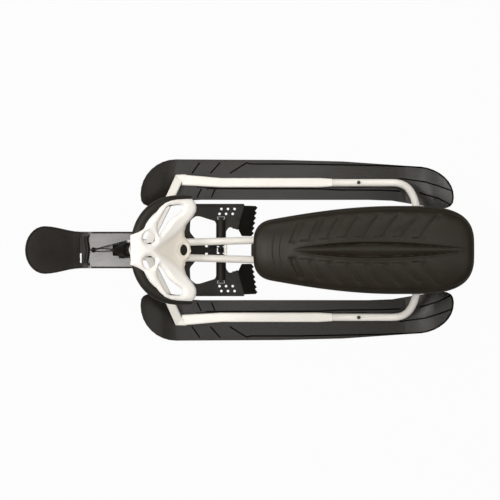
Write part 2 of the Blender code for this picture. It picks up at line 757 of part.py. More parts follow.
def rear_ski_inner_y(x):
    """The inner edge of a rear ski, which flares towards both ends."""
    tail_share = 1 - (REAR_SKI_LENGTH - x) / REAR_SKI_TAIL_FLARE_LENGTH
    front_share = 1 - x / REAR_SKI_FRONT_FLARE_LENGTH
    return (-REAR_SKI_WIDTH / 2 - REAR_SKI_TAIL_FLARE * ease(tail_share)
            - REAR_SKI_FRONT_FLARE * ease(front_share)
            - REAR_SKI_INNER_BOW * math.sin(math.pi * x / REAR_SKI_LENGTH))


def rear_ski_outline():
    """The plan of a rear ski: x from its front end, y outwards from the middle of its width."""
    half, length = REAR_SKI_WIDTH / 2, REAR_SKI_LENGTH
    front, tail = REAR_SKI_FRONT_ARC, REAR_SKI_REAR_ARC
    tail_y = half - REAR_SKI_TAPER - tail[1]
    front_y = half - front[1]
    outline = arc((front[0], front_y), front, 180, 90, 8)
    outline += [(length * 0.45, half - REAR_SKI_TAPER * 0.08), (length * 0.65, half - REAR_SKI_TAPER * 0.3)]
    outline += arc((length - tail[0], tail_y), tail, 90, 0, 9)
    corner = REAR_SKI_INNER_CORNER
    outline += blend_curve((length, tail_y - REAR_SKI_END_FLAT), (length, rear_ski_inner_y(length)),
                           (length - corner, rear_ski_inner_y(length - corner)), 4)
    steps = 12
    for step in range(steps + 1):
        x = length - corner - (length - 2 * corner) * step / steps
        outline.append((x, rear_ski_inner_y(x)))
    outline += blend_curve((corner, rear_ski_inner_y(corner)), (0.0, rear_ski_inner_y(0)),
                           (0.0, front_y - REAR_SKI_END_FLAT), 4)[1:]
    return outline


def front_ski_half_width(x):
    """The front ski's half width: a round tip, the paddle, then the straight waist."""
    if x < FRONT_SKI_PADDLE_X:
        share = 1 - x / FRONT_SKI_PADDLE_X
        return FRONT_SKI_PADDLE_HALF_WIDTH * math.sqrt(max(0.0, 1 - share * share))
    share = ease((x - FRONT_SKI_PADDLE_X) / (FRONT_SKI_SHOULDER_X - FRONT_SKI_PADDLE_X))
    return FRONT_SKI_PADDLE_HALF_WIDTH + (FRONT_SKI_HALF_WIDTH - FRONT_SKI_PADDLE_HALF_WIDTH) * share


def front_ski_outline():
    """The plan of the front ski, x from its tip."""
    half = [(FRONT_SKI_PADDLE_X * (1 - math.cos(math.radians(a))), ) for a in range(0, 90, 11)]
    half = [(x, front_ski_half_width(x)) for (x, ) in half]
    for step in range(7):
        x = FRONT_SKI_PADDLE_X + (FRONT_SKI_SHOULDER_X - FRONT_SKI_PADDLE_X) * step / 6
        half.append((x, front_ski_half_width(x)))
    centre = (FRONT_SKI_LENGTH - FRONT_SKI_CORNER, FRONT_SKI_HALF_WIDTH - FRONT_SKI_CORNER)
    half += arc(centre, (FRONT_SKI_CORNER, FRONT_SKI_CORNER), 90, 0, 4)
    return both_sides(half)


def ski_blank(name, outline, keel_y, keel_span, grooves):
    """A flat ski: floor, lip, keels and the grooves in its floor."""
    ski = plate(name, [outline], KEEL_HEIGHT, SKI_FLOOR_Z + SKI_LIP, "black_ski_plastic")
    tray = offset_inward(outline, SKI_LIP_WIDTH)
    cut(ski, plate(f"{name}_tray", [tray], SKI_FLOOR_Z, SKI_FLOOR_Z + 2 * SKI_LIP))
    for index, path in enumerate(grooves):
        band = ribbon(path, SKI_GROOVE_WIDTH)
        cut(ski, plate(f"{name}_groove_{index}", [band], SKI_FLOOR_Z - SKI_GROOVE_DEPTH,
                       SKI_FLOOR_Z + SKI_LIP * 0.4))
    for side in (-1, 1):
        low = (keel_span[0], side * keel_y - KEEL_WIDTH / 2, 0)
        high = (keel_span[1], side * keel_y + KEEL_WIDTH / 2, KEEL_HEIGHT + SKI_THICKNESS / 2)
        fuse(ski, box(f"{name}_keel_{side + 1}", low, high))
    return ski


def rear_ski_grooves():
    """Slanted grooves on both sides of the rail, the crease along the edge, and the tail sweeps."""
    half, length = REAR_SKI_WIDTH / 2, REAR_SKI_LENGTH
    grooves = []
    for x, lean in REAR_SKI_OUTER_GROOVES:
        grooves.append([(x, half - REAR_SKI_GROOVE_EDGE), (x - lean, half - REAR_SKI_GROOVE_FOOT)])
    inner_foot, inner_edge = REAR_SKI_INNER_GROOVE_YS
    for x, lean in REAR_SKI_INNER_GROOVES:
        grooves.append([(x, inner_foot - half), (x - lean, inner_edge - half)])
    crease_x = REAR_SKI_OUTER_GROOVES[-1][0] + REAR_SKI_CREASE_GAP
    grooves.append([(crease_x, half - REAR_SKI_CREASE_INSET)]
                   + [(length * share, half - inset) for share, inset in REAR_SKI_CREASE])
    for start_y, end_y, start_inset in REAR_SKI_SWEEPS:
        start, end = (length - start_inset, start_y), (length - REAR_SKI_SWEEP_END, end_y)
        middle = ((start[0] + end[0]) / 2, start_y + (end_y - start_y) * 0.35)
        grooves.append([start, middle, end])
    return grooves


def build_rear_skis():
    """The two wide skis that carry the frame."""
    keel_span = (REAR_SKI_FRONT_BEND * 0.46, REAR_SKI_LENGTH - REAR_SKI_REAR_BEND * 0.46)
    ski = ski_blank("rear_ski_right", rear_ski_outline(), REAR_SKI_KEEL_Y, keel_span, rear_ski_grooves())
    front = lift_stations(REAR_SKI_LENGTH, REAR_SKI_FRONT_BEND, REAR_SKI_FRONT_LIFT, 2)
    tail = lift_stations(REAR_SKI_LENGTH, REAR_SKI_REAR_BEND, REAR_SKI_REAR_LIFT, 2)

    def bend(co):
        rise = lift_at(co.x, front) + lift_at(REAR_SKI_LENGTH - co.x, tail)
        return Vector((co.x, co.y, co.z + rise))

    cuts = [((x, 0, 0), (1, 0, 0)) for x, _ in front]
    cuts += [((REAR_SKI_LENGTH - x, 0, 0), (1, 0, 0)) for x, _ in tail]
    ski = reshape(ski, bend, cuts)
    ski.location = (REAR_SKI_X, REAR_SKI_CENTRE_Y, 0)
    mirrored(ski, "rear_ski_left")


FRONT_SKI_STATIONS = lift_stations(FRONT_SKI_LENGTH, FRONT_SKI_BEND, FRONT_SKI_TIP_LIFT, 1.3, 7)


def build_front_ski():
    """The steered ski, with a through slot and end stops for the handle that lies behind it."""
    keel_span = (FRONT_SKI_BEND * 0.55, FRONT_SKI_LENGTH - 0.010)
    ski = ski_blank("front_ski", front_ski_outline(), FRONT_SKI_KEEL_Y, keel_span, [])
    slot_half = (FRONT_SKI_SLOT_WIDTH / 2, FRONT_SKI_SLOT_LENGTH / 2)
    slot = rounded([(FRONT_SKI_SLOT_X + a * slot_half[0], b * slot_half[1])
                    for a, b in ((-1, -1), (1, -1), (1, 1), (-1, 1))], 0.004)
    cut(ski, plate("front_ski_slot", [slot], -KEEL_HEIGHT, 2 * SKI_FLOOR_Z))
    handle_x = HANDLE_X - FRONT_X
    for side in (-1, 1):
        inner = side * (HANDLE_BAR_LENGTH / 2 + 2 * GAP)
        outer = inner + side * HANDLE_STOP_THICKNESS
        low = (handle_x - HANDLE_BAR_RADIUS, min(inner, outer), SKI_FLOOR_Z - SKI_THICKNESS / 2)
        high = (handle_x + HANDLE_BAR_RADIUS, max(inner, outer), HANDLE_Z)
        fuse(ski, box(f"handle_stop_{side + 1}", low, high, taper=0.85))
    ski = reshape(ski, lambda co: Vector((co.x, co.y, co.z + lift_at(co.x, FRONT_SKI_STATIONS))),
                  [((x, 0, 0), (1, 0, 0)) for x, _ in FRONT_SKI_STATIONS])
    ski.location = (FRONT_X, 0, 0)
    hang(ski, ski_axis)


# Frame

def axis_point(height):
    """The point of the steering axis at a height along it."""
    return steering_axis.matrix_world @ Vector((0, 0, height))


def axis_at_z(z):
    """The point of the steering axis at a world height."""
    return axis_point((z - PIVOT_Z) / math.cos(CASTER))


def centre_rail_y(x):
    """The centre rails spread a little from the head tube to the hoop."""
    front = axis_at_z(CENTRE_RAIL_HEAD_Z).x
    return CENTRE_RAIL_FRONT_Y + (CENTRE_RAIL_REAR_Y - CENTRE_RAIL_FRONT_Y) * (x - front) / (HOOP_X - front)


def centre_rail_z(x):
    """The centre line of the rails in front of their bend."""
    front = axis_at_z(CENTRE_RAIL_HEAD_Z).x
    rise = CENTRE_RAIL_BEND_Z - CENTRE_RAIL_HEAD_Z
    return CENTRE_RAIL_HEAD_Z + rise * (x - front) / (CENTRE_RAIL_BEND_X - front)


def head_tube_cutter(name):
    """The space that the head tube takes out of the tubes that meet it."""
    return cylinder(name, HEAD_TUBE_RADIUS + GAP, (0, 0, HEAD_TUBE_FOOT - HEAD_TUBE_LENGTH),
                    (0, 0, HEAD_TUBE_FOOT + 2 * HEAD_TUBE_LENGTH), parent=steering_axis, segments=48)


def hoop_path():
    """The centre line of the rear hoop, from the right rail's plug to the left one's."""
    start_x = SIDE_RAIL_REAR_X + GAP
    bend_x = HOOP_X - HOOP_BEND_LENGTH
    plug = [(start_x - HOOP_PLUG_LENGTH, SIDE_RAIL_Y, SIDE_RAIL_Z), (start_x - 0.0001, SIDE_RAIL_Y, SIDE_RAIL_Z)]
    p0 = Vector((bend_x, SIDE_RAIL_Y, SIDE_RAIL_Z))
    p1 = Vector((bend_x + HOOP_BEND_REACH, SIDE_RAIL_Y, SIDE_RAIL_Z))
    p2 = Vector((HOOP_X, HOOP_BEND_Y, HOOP_BEND_Z))
    p3 = Vector((HOOP_X, CENTRE_RAIL_REAR_Y + 2 * CENTRE_RAIL_RADIUS, CENTRE_RAIL_TOP_Z))
    half = [Vector((start_x, SIDE_RAIL_Y, SIDE_RAIL_Z))]
    steps = 12
    for step in range(steps + 1):
        t = step / steps
        half.append(p0 * (1 - t) ** 3 + p1 * 3 * t * (1 - t) ** 2 + p2 * 3 * t * t * (1 - t) + p3 * t ** 3)
    half = [Vector(spot) for spot in plug] + half
    radii = [HOOP_PLUG_RADIUS / TUBE_RADIUS] * 2 + [1.0] * (len(half) - 2)
    flip = [Vector((spot.x, -spot.y, spot.z)) for spot in reversed(half)]
    return half + flip, radii + radii[::-1]


def build_side(side_name="right"):
    """A side rail and the strut that climbs from its front corner to the head tube."""
    splay_y = SIDE_RAIL_Y + SIDE_RAIL_FRONT_SPLAY
    taper_end = SIDE_RAIL_JOINT_X + SIDE_RAIL_TAPER_LENGTH
    overlap = SIDE_RAIL_FRONT_WIDTH
    rail = bar(f"side_rail_{side_name}",
               [(SIDE_RAIL_JOINT_X - overlap, splay_y, SIDE_RAIL_Z), (taper_end, SIDE_RAIL_Y, SIDE_RAIL_Z),
                (SIDE_RAIL_REAR_X - SIDE_RAIL_REAR_TAPER, SIDE_RAIL_Y, SIDE_RAIL_Z),
                (SIDE_RAIL_REAR_X, SIDE_RAIL_Y, SIDE_RAIL_Z)],
               [SIDE_RAIL_FRONT_WIDTH, SIDE_RAIL_WIDTH, SIDE_RAIL_WIDTH, SIDE_RAIL_REAR_WIDTH], "white_paint")
    head = axis_at_z(STRUT_HEAD_Z)
    strut = bar(f"front_strut_{side_name}",
                [head, (SIDE_RAIL_FRONT_X, splay_y, SIDE_RAIL_Z),
                 (SIDE_RAIL_JOINT_X + overlap, splay_y, SIDE_RAIL_Z)],
                [STRUT_WIDTH, STRUT_WIDTH, SIDE_RAIL_FRONT_WIDTH], "white_paint")
    joint = Vector((SIDE_RAIL_JOINT_X, splay_y, SIDE_RAIL_Z))
    slant = math.atan2(SIDE_RAIL_JOINT_X - head.x - JOINT_SIGHT, splay_y)
    normal = Vector((math.cos(slant), -math.sin(slant), 0))
    trim(rail, joint + normal * GAP, -normal)
    trim(strut, joint, normal)
    cut(strut, head_tube_cutter(f"cope_{side_name}_strut"))
    cut(rail, cylinder(f"plug_bore_{side_name}", HOOP_PLUG_RADIUS + GAP,
                       (SIDE_RAIL_REAR_X - HOOP_PLUG_LENGTH - 0.001, SIDE_RAIL_Y, SIDE_RAIL_Z),
                       (SIDE_RAIL_REAR_X + 0.001, SIDE_RAIL_Y, SIDE_RAIL_Z)))
    return rail, strut


def build_frame():
    """Head tube, struts, side rails, rear hoop, centre rails and the bar between them."""
    head_low, head_high = HEAD_TUBE_FOOT, HEAD_TUBE_FOOT + HEAD_TUBE_LENGTH
    bore = HEAD_TUBE_RADIUS - HEAD_TUBE_WALL
    turned("head_tube", ring_profile(bore, HEAD_TUBE_RADIUS, head_low, head_high), "white_paint",
           steering_axis, 32)
    sleeve, column = bore - GAP, COLUMN_RADIUS + GAP
    for name, edge, way in (("head_bush_lower", head_low, 1), ("head_bush_upper", head_high, -1)):
        profile = [(sleeve, edge + way * BUSH_LENGTH), (sleeve, edge - way * GAP),
                   (HEAD_TUBE_RADIUS, edge - way * GAP), (HEAD_TUBE_RADIUS, edge - way * BUSH_FLANGE),
                   (column, edge - way * BUSH_FLANGE), (column, edge + way * BUSH_LENGTH)]
        turned(name, profile, "black_moulding", steering_axis)

    for piece in build_side():
        mirrored(piece, piece.name.replace("right", "left"))

    path, radii = hoop_path()
    hoop = tube("rear_hoop", path, TUBE_RADIUS, "white_paint", sides=4, radii=radii)
    for side in (-1, 1):
        spot = Vector((REAR_SADDLE_X, side * SIDE_RAIL_Y, SIDE_RAIL_Z))
        reach = Vector((0, 0, 2 * TUBE_RADIUS))
        cut(hoop, cylinder(f"screw_way_{side + 1}", SKI_SCREW_RADIUS + BOLT_CLEARANCE, spot - reach,
                           spot + reach, segments=12))

    front = axis_at_z(CENTRE_RAIL_HEAD_Z)
    corners = [(front.x, CENTRE_RAIL_HEAD_Z), (CENTRE_RAIL_BEND_X, CENTRE_RAIL_BEND_Z),
               (CENTRE_RAIL_TOP_X, CENTRE_RAIL_TOP_Z), (HOOP_X, CENTRE_RAIL_TOP_Z)]
    path = filleted([(x, centre_rail_y(x), z) for x, z in corners], CENTRE_RAIL_BEND_REACH)
    rail = tube("centre_rail_right", path, CENTRE_RAIL_RADIUS, "white_paint", sides=4)
    cut(rail, head_tube_cutter("cope_rail"),
        cylinder("hoop_cope", TUBE_RADIUS + GAP, (HOOP_X, 0, CENTRE_RAIL_TOP_Z),
                 (HOOP_X, 3 * CENTRE_RAIL_REAR_Y, CENTRE_RAIL_TOP_Z)))
    mirrored(rail, "centre_rail_left")

    bar_x = BRAKE_PIVOT_X + CROSS_BAR_BACK
    reach = centre_rail_y(bar_x) - CENTRE_RAIL_RADIUS - GAP
    cylinder("rail_cross_bar", CROSS_BAR_RADIUS, (bar_x, -reach, centre_rail_z(bar_x)),
             (bar_x, reach, centre_rail_z(bar_x)), "white_paint")


def build_saddles():
    """The blocks between skis and frame, and the screws that hold the rear ones."""
    for place, x, frame_low in (("front", FRONT_SADDLE_X, SIDE_RAIL_Z - SIDE_RAIL_HEIGHT / 2),
                                ("rear", REAR_SADDLE_X, SIDE_RAIL_Z - TUBE_RADIUS * 0.2)):
        low = (x - SADDLE_LENGTH / 2, SIDE_RAIL_Y - SADDLE_WIDTH / 2, SKI_FLOOR_Z + GAP)
        high = (x + SADDLE_LENGTH / 2, SIDE_RAIL_Y + SADDLE_WIDTH / 2, frame_low - GAP)
        saddle = box(f"ski_saddle_{place}_right", low, high, "black_moulding", taper=SADDLE_TAPER)
        if place == "rear":
            spot = Vector((x, SIDE_RAIL_Y, SIDE_RAIL_Z))
            run = Vector((SADDLE_LENGTH, 0, 0))
            bite_z = SIDE_RAIL_Z - TUBE_RADIUS - SKI_SCREW_BITE
            cut(saddle, cylinder("saddle_seat", TUBE_RADIUS + GAP, spot - run, spot + run, segments=48),
                cylinder("saddle_screw_bore", SKI_SCREW_RADIUS + BOLT_CLEARANCE,
                         (x, SIDE_RAIL_Y, bite_z - GAP), spot, segments=12))
            top = SIDE_RAIL_Z + TUBE_RADIUS + GAP
            screw = cylinder("ski_screw_right", SKI_SCREW_RADIUS, (x, SIDE_RAIL_Y, bite_z),
                             (x, SIDE_RAIL_Y, top + SKI_SCREW_HEAD_HEIGHT / 2), "zinc_steel", segments=12)
            fuse(screw, cylinder("ski_screw_head", SKI_SCREW_HEAD_RADIUS, (x, SIDE_RAIL_Y, top),
                                 (x, SIDE_RAIL_Y, top + SKI_SCREW_HEAD_HEIGHT), segments=20))
            mirrored(screw, "ski_screw_left")
        mirrored(saddle, f"ski_saddle_{place}_left")


build_rear_skis()
build_front_ski()
build_frame()
build_saddles()


# Steering

def hex_prism(name, radius, start, end, finish=None, parent=None):
    """A hexagonal bar from one point to another."""
    return cylinder(name, radius, start, end, finish, parent, segments=6)


def build_fork():
    """The fork on the column's foot: a tongue between the ski's cheeks, a socket and a nose."""
    half = FORK_TONGUE_WIDTH / 2
    fork = cylinder("steering_fork", FORK_SOCKET_RADIUS, (0, 0, FORK_SOCKET_FOOT), (0, 0, FORK_SOCKET_TOP),
                    "black_moulding", steering_axis, 32)
    eye = cylinder("fork_eye", FORK_TONGUE_RADIUS, (0, -half, 0), (0, half, 0), parent=steering_axis)
    neck = box("fork_neck", (-FORK_TONGUE_RADIUS * 0.95, -half * 0.99, 0),
               (FORK_TONGUE_RADIUS * 0.95, half * 0.99, FORK_SOCKET_FOOT + 0.004), parent=steering_axis)
    wide, narrow = FORK_NOSE_WIDTHS
    tip = [(-FORK_SOCKET_RADIUS * 0.4, wide / 2), (-FORK_NOSE_REACH, narrow / 2),
           (-FORK_NOSE_REACH, -narrow / 2), (-FORK_SOCKET_RADIUS * 0.4, -wide / 2)]
    nose = plate("fork_nose", [tip], FORK_NOSE_HEIGHT - FORK_NOSE_DEPTH / 2,
                 FORK_NOSE_HEIGHT + FORK_NOSE_DEPTH / 2, parent=steering_axis)
    lug_low, lug_high = REEL_LUG_Y
    lug = box("fork_lug", (FORK_SOCKET_RADIUS * 0.5, lug_low, REEL_HEIGHT - REEL_LUG_RADIUS * 0.99),
              (REEL_BACK, lug_high, REEL_HEIGHT + REEL_LUG_RADIUS * 0.2), parent=steering_axis)
    lug_eye = cylinder("fork_lug_eye", REEL_LUG_RADIUS, (REEL_BACK, lug_low, REEL_HEIGHT),
                       (REEL_BACK, lug_high, REEL_HEIGHT), parent=steering_axis)
    fuse(fork, eye, neck, nose, lug, lug_eye)
    cut(fork, cylinder("fork_bore", COLUMN_RADIUS + GAP, (0, 0, COLUMN_FOOT - GAP),
                       (0, 0, 2 * FORK_SOCKET_TOP), parent=steering_axis, segments=32),
        cylinder("fork_pivot_bore", PIVOT_BOLT_RADIUS + BOLT_CLEARANCE, (0, -2 * half, 0), (0, 2 * half, 0),
                 parent=steering_axis),
        cylinder("fork_reel_bore", REEL_PIN_RADIUS + BOLT_CLEARANCE, (REEL_BACK, lug_low - lug_high, REEL_HEIGHT),
                 (REEL_BACK, 2 * lug_high, REEL_HEIGHT), parent=steering_axis, segments=16))


def build_column():
    """The steering column and the two collars that keep it in the head tube."""
    top = HUB_HEIGHT - HUB_COLUMN_INSET
    column = cylinder("steering_column", COLUMN_RADIUS, (0, 0, COLUMN_FOOT), (0, 0, top), "zinc_steel",
                      steering_axis)
    cut(column, cylinder("column_thread", HUB_BOLT_RADIUS + BOLT_CLEARANCE,
                         (0, 0, HUB_HEIGHT - HUB_BOLT_SEAT - HUB_BOLT_LENGTH - GAP), (0, 0, HUB_HEIGHT),
                         parent=steering_axis, segments=16))
    low = HEAD_TUBE_FOOT - BUSH_FLANGE - GAP
    high = HEAD_TUBE_FOOT + HEAD_TUBE_LENGTH + BUSH_FLANGE + GAP
    for name, bottom in (("column_collar_lower", low - COLLAR_HEIGHT), ("column_collar_upper", high)):
        turned(name, ring_profile(COLUMN_RADIUS + GAP, COLLAR_RADIUS, bottom, bottom + COLLAR_HEIGHT),
               "black_moulding", steering_axis)


def rim_points():
    """The rim's centre line, an open C from its right tail round the front to its left tail."""
    reach_u, reach_v = RIM_REACH
    start = math.degrees(math.acos((RIM_TAIL_U - RIM_CENTRE_U) / reach_u))
    points = []
    steps = 32
    for step in range(steps + 1):
        angle = math.radians(start - 2 * start * step / steps)
        c, s = math.cos(angle), math.sin(angle)
        scale = (abs(c) ** RIM_POWER + abs(s) ** RIM_POWER) ** (-1 / RIM_POWER)
        points.append((RIM_CENTRE_U + reach_u * c * scale, reach_v * s * scale))
    return points


def spider_height(u, v):
    """The dish of the spider: low at the hub, level at the arms, drooping at the front lip."""
    reach = math.hypot(u, v)
    droop = max(0.0, u - SPIDER_LIP_U) / (SPIDER_FRONT_U - SPIDER_LIP_U)
    return SPIDER_DISH * ease(reach / SPIDER_DISH_RADIUS) - SPIDER_LIP_DROP * droop * droop


def build_wheel():
    """Rim, spider with its windows and hub, the bolt through the hub and the cap over it."""
    flat = Matrix.Rotation(math.pi, 4, "Z")
    outline = both_sides(SPIDER_HALF_OUTLINE)
    holes = []
    for side in (1, -1):
        for window in (SPIDER_ARM_WINDOW, SPIDER_EYE_WINDOW):
            holes.append([(u, side * v) for u, v in window])
    spider = plate("wheel_spider", [outline] + holes, -SPIDER_THICKNESS, 0, "white_moulding", steering_axis)
    cuts = [((SPIDER_GRID * step, 0, 0), (1, 0, 0)) for step in range(-1, 6)]
    cuts += [((0, SPIDER_GRID * (step + 0.5), 0), (0, 1, 0)) for step in range(-4, 4)]
    spider = reshape(spider, lambda co: Vector((co.x, co.y, co.z + spider_height(co.x, co.y))), cuts)
    spider.data.transform(Matrix.Translation((0, 0, HUB_HEIGHT)) @ flat)
    fuse(spider, cylinder("hub_boss", HUB_BOSS_RADIUS, (0, 0, HUB_HEIGHT - HUB_BOSS_DEPTH),
                          (0, 0, HUB_HEIGHT - SPIDER_THICKNESS / 2), parent=steering_axis, segments=32))
    cap_seat = arc((0, 0), [r + GAP for r in HUB_CAP_AXES], 0, 345, 23)
    cut(spider,
        plate("cap_recess", [cap_seat], HUB_HEIGHT - HUB_CAP_SEAT, HUB_HEIGHT + HUB_BOSS_RADIUS,
              parent=steering_axis),
        cylinder("hub_bolt_recess", HUB_BOLT_HEAD[0] + BOLT_CLEARANCE, (0, 0, HUB_HEIGHT - HUB_BOLT_SEAT),
                 (0, 0, HUB_HEIGHT), parent=steering_axis, segments=21),
        cylinder("hub_bolt_bore", HUB_BOLT_RADIUS + BOLT_CLEARANCE, (0, 0, HUB_HEIGHT - HUB_BOSS_DEPTH),
                 (0, 0, HUB_HEIGHT), parent=steering_axis, segments=16),
        cylinder("hub_column_bore", COLUMN_RADIUS + GAP, (0, 0, HUB_HEIGHT - 2 * HUB_BOSS_DEPTH),
                 (0, 0, HUB_HEIGHT - HUB_COLUMN_INSET + GAP), parent=steering_axis, segments=32))
    rim_height = HUB_HEIGHT + SPIDER_DISH - SPIDER_THICKNESS - RIM_RADIUS + RIM_SEAT_DEPTH
    path = [(-u, v, rim_height) for u, v in rim_points()]
    tube("wheel_rim", path, RIM_RADIUS, "soft_black_grip", steering_axis, sides=3)
    cut(spider, tube("rim_seat", path, RIM_RADIUS + GAP, parent=steering_axis, sides=3))

    seat = HUB_HEIGHT - HUB_BOLT_SEAT + GAP
    bolt = cylinder("hub_bolt", HUB_BOLT_RADIUS, (0, 0, seat + HUB_BOLT_HEAD[1] / 2),
                    (0, 0, seat - HUB_BOLT_LENGTH), "zinc_steel", steering_axis, 16)
    fuse(bolt, hex_prism("hub_bolt_head", HUB_BOLT_HEAD[0], (0, 0, seat), (0, 0, seat + HUB_BOLT_HEAD[1]),
                         parent=steering_axis))
    cap_low = HUB_HEIGHT - HUB_CAP_SEAT + GAP
    cap = plate("hub_cap", [arc((0, 0), HUB_CAP_AXES, 0, 345, 23)], cap_low, cap_low + HUB_CAP_THICKNESS,
                "black_moulding", steering_axis)
    for vert in cap.data.vertices:
        if vert.co.z > cap_low + HUB_CAP_THICKNESS / 2:
            vert.co.x *= 0.86
            vert.co.y *= 0.88


def build_reel():
    """The tow line's reel: cup, cover and drum on one pin through the fork's lug, and the spout."""
    frame = (Matrix.Translation((REEL_BACK, REEL_SIDE, REEL_HEIGHT)) @ Matrix.Rotation(-math.pi / 2, 4, "X"))
    half = REEL_WIDTH / 2
    bore = REEL_PIN_RADIUS + BOLT_CLEARANCE
    housing = turned("reel_housing", [(REEL_RADIUS, half), (REEL_RADIUS, -half), (bore, -half),
                                      (bore, REEL_WALL - half), (REEL_RADIUS - REEL_WALL, REEL_WALL - half),
                                      (REEL_RADIUS - REEL_WALL, half)], "black_moulding", None, 32)
    cover = turned("reel_cover", ring_profile(bore, REEL_RADIUS - REEL_WALL - GAP, half - REEL_WALL, half),
                   "black_moulding", None, 32)
    inside = half - REEL_WALL - 2 * GAP
    flange = REEL_RADIUS - REEL_WALL - 4 * GAP
    drum = turned("reel_drum", [(flange, inside), (flange, inside - DRUM_FLANGE),
                                (DRUM_CORE_RADIUS, inside - DRUM_FLANGE), (DRUM_CORE_RADIUS, DRUM_FLANGE - inside),
                                (flange, DRUM_FLANGE - inside), (flange, -inside), (bore, -inside),
                                (bore, inside)], "white_moulding", None, 28)
    for piece in (housing, cover, drum):
        piece.parent = steering_axis
        piece.matrix_basis = frame
    wall_x = REEL_BACK - math.sqrt(REEL_RADIUS ** 2 - (SPOUT_HEIGHT - REEL_HEIGHT) ** 2)
    mouth = (SPOUT_TIP_X, SPOUT_Y, SPOUT_HEIGHT)
    root = (wall_x + REEL_WALL * 0.4, SPOUT_Y, SPOUT_HEIGHT)
    deep = (wall_x + 3 * REEL_WALL, SPOUT_Y, SPOUT_HEIGHT)
    cut(housing, cylinder("spout_socket", SPOUT_RADIUS + GAP, mouth, (root[0] + GAP, *root[1:]),
                          parent=steering_axis, segments=16),
        cylinder("cord_way", CORD_BORE, mouth, deep, parent=steering_axis, segments=12))
    spout = cylinder("cord_spout", SPOUT_RADIUS, mouth, root, "white_moulding", steering_axis, 16)
    cut(spout, cylinder("spout_bore", CORD_BORE, (mouth[0] - SPOUT_RADIUS, *mouth[1:]), deep,
                        parent=steering_axis, segments=12))
    lug_low = REEL_LUG_Y[0]
    pin = cylinder("reel_pin", REEL_PIN_RADIUS, (REEL_BACK, lug_low - GAP - DRUM_FLANGE, REEL_HEIGHT),
                   (REEL_BACK, REEL_SIDE + half + REEL_WALL, REEL_HEIGHT), "zinc_steel", steering_axis, 16)
    fuse(pin, cylinder("reel_pin_head", 2 * REEL_PIN_RADIUS,
                       (REEL_BACK, lug_low - GAP - 2 * DRUM_FLANGE, REEL_HEIGHT),
                       (REEL_BACK, lug_low - GAP, REEL_HEIGHT), parent=steering_axis, segments=16))


# What stands on the front ski

def build_ski_pivot():
    """The bracket on the front ski, its bolt and nut."""
    floor = SKI_FLOOR_Z + GAP
    top = floor + BRACKET_THICKNESS
    inner = FORK_TONGUE_WIDTH / 2 + 2 * GAP
    outer = inner + BRACKET_CHEEK
    half_length, half_width = BRACKET_LENGTH / 2, BRACKET_FOOT_WIDTH / 2
    foot = rounded([(PIVOT_X + a * half_length, b * half_width)
                    for a, b in ((-1, -1), (1, -1), (1, 1), (-1, 1))], 0.008)
    bracket = plate("ski_bracket", [foot], floor, top, "black_moulding")
    bolt_way = PIVOT_BOLT_RADIUS + BOLT_CLEARANCE
    for side in (-1, 1):
        eye = arc((PIVOT_X, PIVOT_Z), (BRACKET_EYE_RADIUS, BRACKET_EYE_RADIUS), 10, 170, 10)
        cheek = [(PIVOT_X + half_length * 0.85, top - BRACKET_THICKNESS / 2)] + eye
        cheek += [(PIVOT_X - half_length * 0.85, top - BRACKET_THICKNESS / 2)]
        low, high = sorted((side * inner, side * outer))
        fuse(bracket, side_plate(f"bracket_cheek_{side + 1}", [cheek], low, high))
    cut(bracket, cylinder("bracket_bore", bolt_way, (PIVOT_X, -2 * outer, PIVOT_Z),
                          (PIVOT_X, 2 * outer, PIVOT_Z)))
    face = outer + GAP
    bolt = cylinder("ski_pivot_bolt", PIVOT_BOLT_RADIUS, (PIVOT_X, face + HEX_HEIGHT / 2, PIVOT_Z),
                    (PIVOT_X, -face - 1.5 * HEX_HEIGHT, PIVOT_Z), "zinc_steel", segments=20)
    fuse(bolt, hex_prism("pivot_bolt_head", HEX_RADIUS, (PIVOT_X, face, PIVOT_Z),
                         (PIVOT_X, face + HEX_HEIGHT, PIVOT_Z)))
    nut = hex_prism("ski_pivot_nut", HEX_RADIUS, (PIVOT_X, -face, PIVOT_Z),
                    (PIVOT_X, -face - HEX_HEIGHT, PIVOT_Z), "zinc_steel")
    cut(nut, cylinder("nut_bore", bolt_way, (PIVOT_X, 0, PIVOT_Z), (PIVOT_X, -2 * outer - HEX_HEIGHT, PIVOT_Z)))
    for piece in (bracket, bolt, nut):
        hang(piece, ski_axis)


